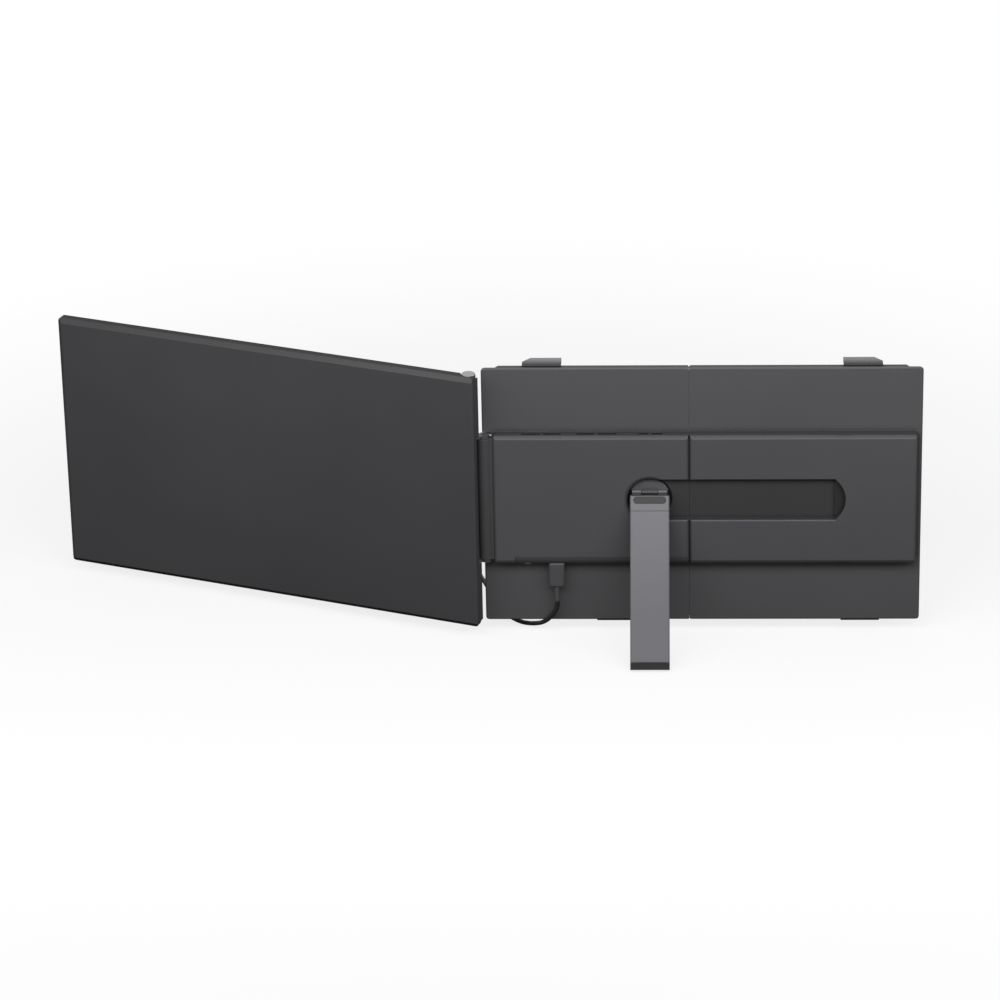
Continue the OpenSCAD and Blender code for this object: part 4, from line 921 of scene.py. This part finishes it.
class EXTENDER_OT_stage(bpy.types.Operator):
    """Lay the pale floor and hang the studio's lights."""

    bl_idname = "extender.stage"
    bl_label = "Stage"

    def execute(self, context):
        sizes = context.scene.extender_sizes
        level = TABLE * MM - FLOOR_GAP
        corners = np.array([(x * FLOOR_REACH, y * FLOOR_REACH, level)
                            for x, y in ((-1, -1), (1, -1), (1, 1), (-1, 1))])
        floor = put_mesh("floor", corners, [[0, 1, 2, 3]], smooth=False)
        floor.data.materials.append(self.floor_material())
        self.sky(context, sizes.sky_level)
        for name, share, size, place in LAMPS:
            self.lamp(context, name, share * sizes.lamp_power, size, place)
        context.scene.view_settings.view_transform = "Standard"
        return {"FINISHED"}

    @staticmethod
    def floor_material():
        """Pale floor: to the camera and through glass it is white, with the shadow near the object
        and none further off. To light that bounces it is a dull grey."""
        material = bpy.data.materials.new("pale_floor")
        material.use_nodes = True
        tree = material.node_tree
        tree.nodes.clear()
        path = tree.nodes.new("ShaderNodeLightPath")
        seen = maths(tree, "MAXIMUM", (path, "Is Camera Ray"), (path, "Is Transmission Ray"))
        where = tree.nodes.new("ShaderNodeTexCoord")
        away = tree.nodes.new("ShaderNodeVectorMath")
        away.operation = "DISTANCE"
        away.inputs[1].default_value = STAGE_MIDDLE[:2] + (TABLE * MM,)
        wire(tree, where, "Object", away, 0)
        white = spread(tree, away, "Value", SHADOW_NEAR, SHADOW_FAR, SHADOW_WHITE, 1.0)
        white.interpolation_type = "SMOOTHSTEP"
        share = maths(tree, "MULTIPLY", (seen, 0), (white, 0))
        tint = mixed(tree, (seen, 0), (0.09, 0.09, 0.09, 1), (0.9, 0.9, 0.9, 1))
        dull = tree.nodes.new("ShaderNodeBsdfDiffuse")
        tree.links.new(colour_out(tint), dull.inputs["Color"])
        glow = tree.nodes.new("ShaderNodeEmission")
        glow.inputs["Strength"].default_value = 1.0
        both = tree.nodes.new("ShaderNodeMixShader")
        wire(tree, share, 0, both, "Fac")
        wire(tree, dull, 0, both, 1)
        wire(tree, glow, 0, both, 2)
        out = tree.nodes.new("ShaderNodeOutputMaterial")
        wire(tree, both, 0, out, "Surface")
        return material

    @staticmethod
    def sky(context, level):
        """An even studio sky, which the camera sees as all white."""
        world = bpy.data.worlds.new("studio")
        context.scene.world = world
        world.use_nodes = True
        tree = world.node_tree
        back = tree.nodes["Background"]
        path = tree.nodes.new("ShaderNodeLightPath")
        strength = tree.nodes.new("ShaderNodeMix")
        strength.data_type = "FLOAT"
        strength.inputs["A"].default_value = level
        strength.inputs["B"].default_value = 1.0
        wire(tree, path, "Is Camera Ray", strength, "Factor")
        wire(tree, strength, 0, back, "Strength")
        back.inputs["Color"].default_value = (1, 1, 1, 1)

    @staticmethod
    def lamp(context, name, power, size, place):
        """A long lamp that faces the stage's middle."""
        data = bpy.data.lights.new(name, "AREA")
        data.energy = power
        data.shape = "RECTANGLE"
        data.size, data.size_y = size
        lamp = bpy.data.objects.new(name, data)
        spot = np.array(place)
        back = spot - STAGE_MIDDLE
        back /= np.linalg.norm(back)
        side = np.cross((0, 0, 1.0), back)
        side /= np.linalg.norm(side)
        lamp.matrix_world = placed(side, np.cross(back, side), back, spot)
        context.scene.collection.objects.link(lamp)


OPERATORS = (EXTENDER_OT_camera, EXTENDER_OT_groups, EXTENDER_OT_lead, EXTENDER_OT_plugs,
             EXTENDER_OT_springs, EXTENDER_OT_screws, EXTENDER_OT_display, EXTENDER_OT_bracket,
             EXTENDER_OT_stand, EXTENDER_OT_stage)


class EXTENDER_PT_panel(bpy.types.Panel):
    """Lists the extender's sizes, colours and pieces."""

    bl_idname = "EXTENDER_PT_panel"
    bl_label = "Screen extender"
    bl_space_type = "VIEW_3D"
    bl_region_type = "UI"
    bl_category = "Extender"

    def draw(self, context):
        layout = self.layout
        for group in (context.scene.extender_sizes, context.scene.extender_colours):
            for name in group.__annotations__:
                layout.prop(group, name)
        for operator in OPERATORS:
            layout.operator(operator.bl_idname)


CLASSES = (ExtenderSizes, ExtenderColours) + OPERATORS + (EXTENDER_PT_panel,)


def register():
    """Registers the classes and the scene's two groups of properties."""
    for cls in CLASSES:
        bpy.utils.register_class(cls)
    bpy.types.Scene.extender_sizes = PointerProperty(type=ExtenderSizes)
    bpy.types.Scene.extender_colours = PointerProperty(type=ExtenderColours)


def unregister():
    """Takes them away again."""
    del bpy.types.Scene.extender_colours
    del bpy.types.Scene.extender_sizes
    for cls in reversed(CLASSES):
        bpy.utils.unregister_class(cls)


def main():
    """Builds everything in order."""
    register()
    for operator in OPERATORS:
        group, name = operator.bl_idname.split(".")
        getattr(getattr(bpy.ops, group), name)()


if __name__ == "__main__":
    main()
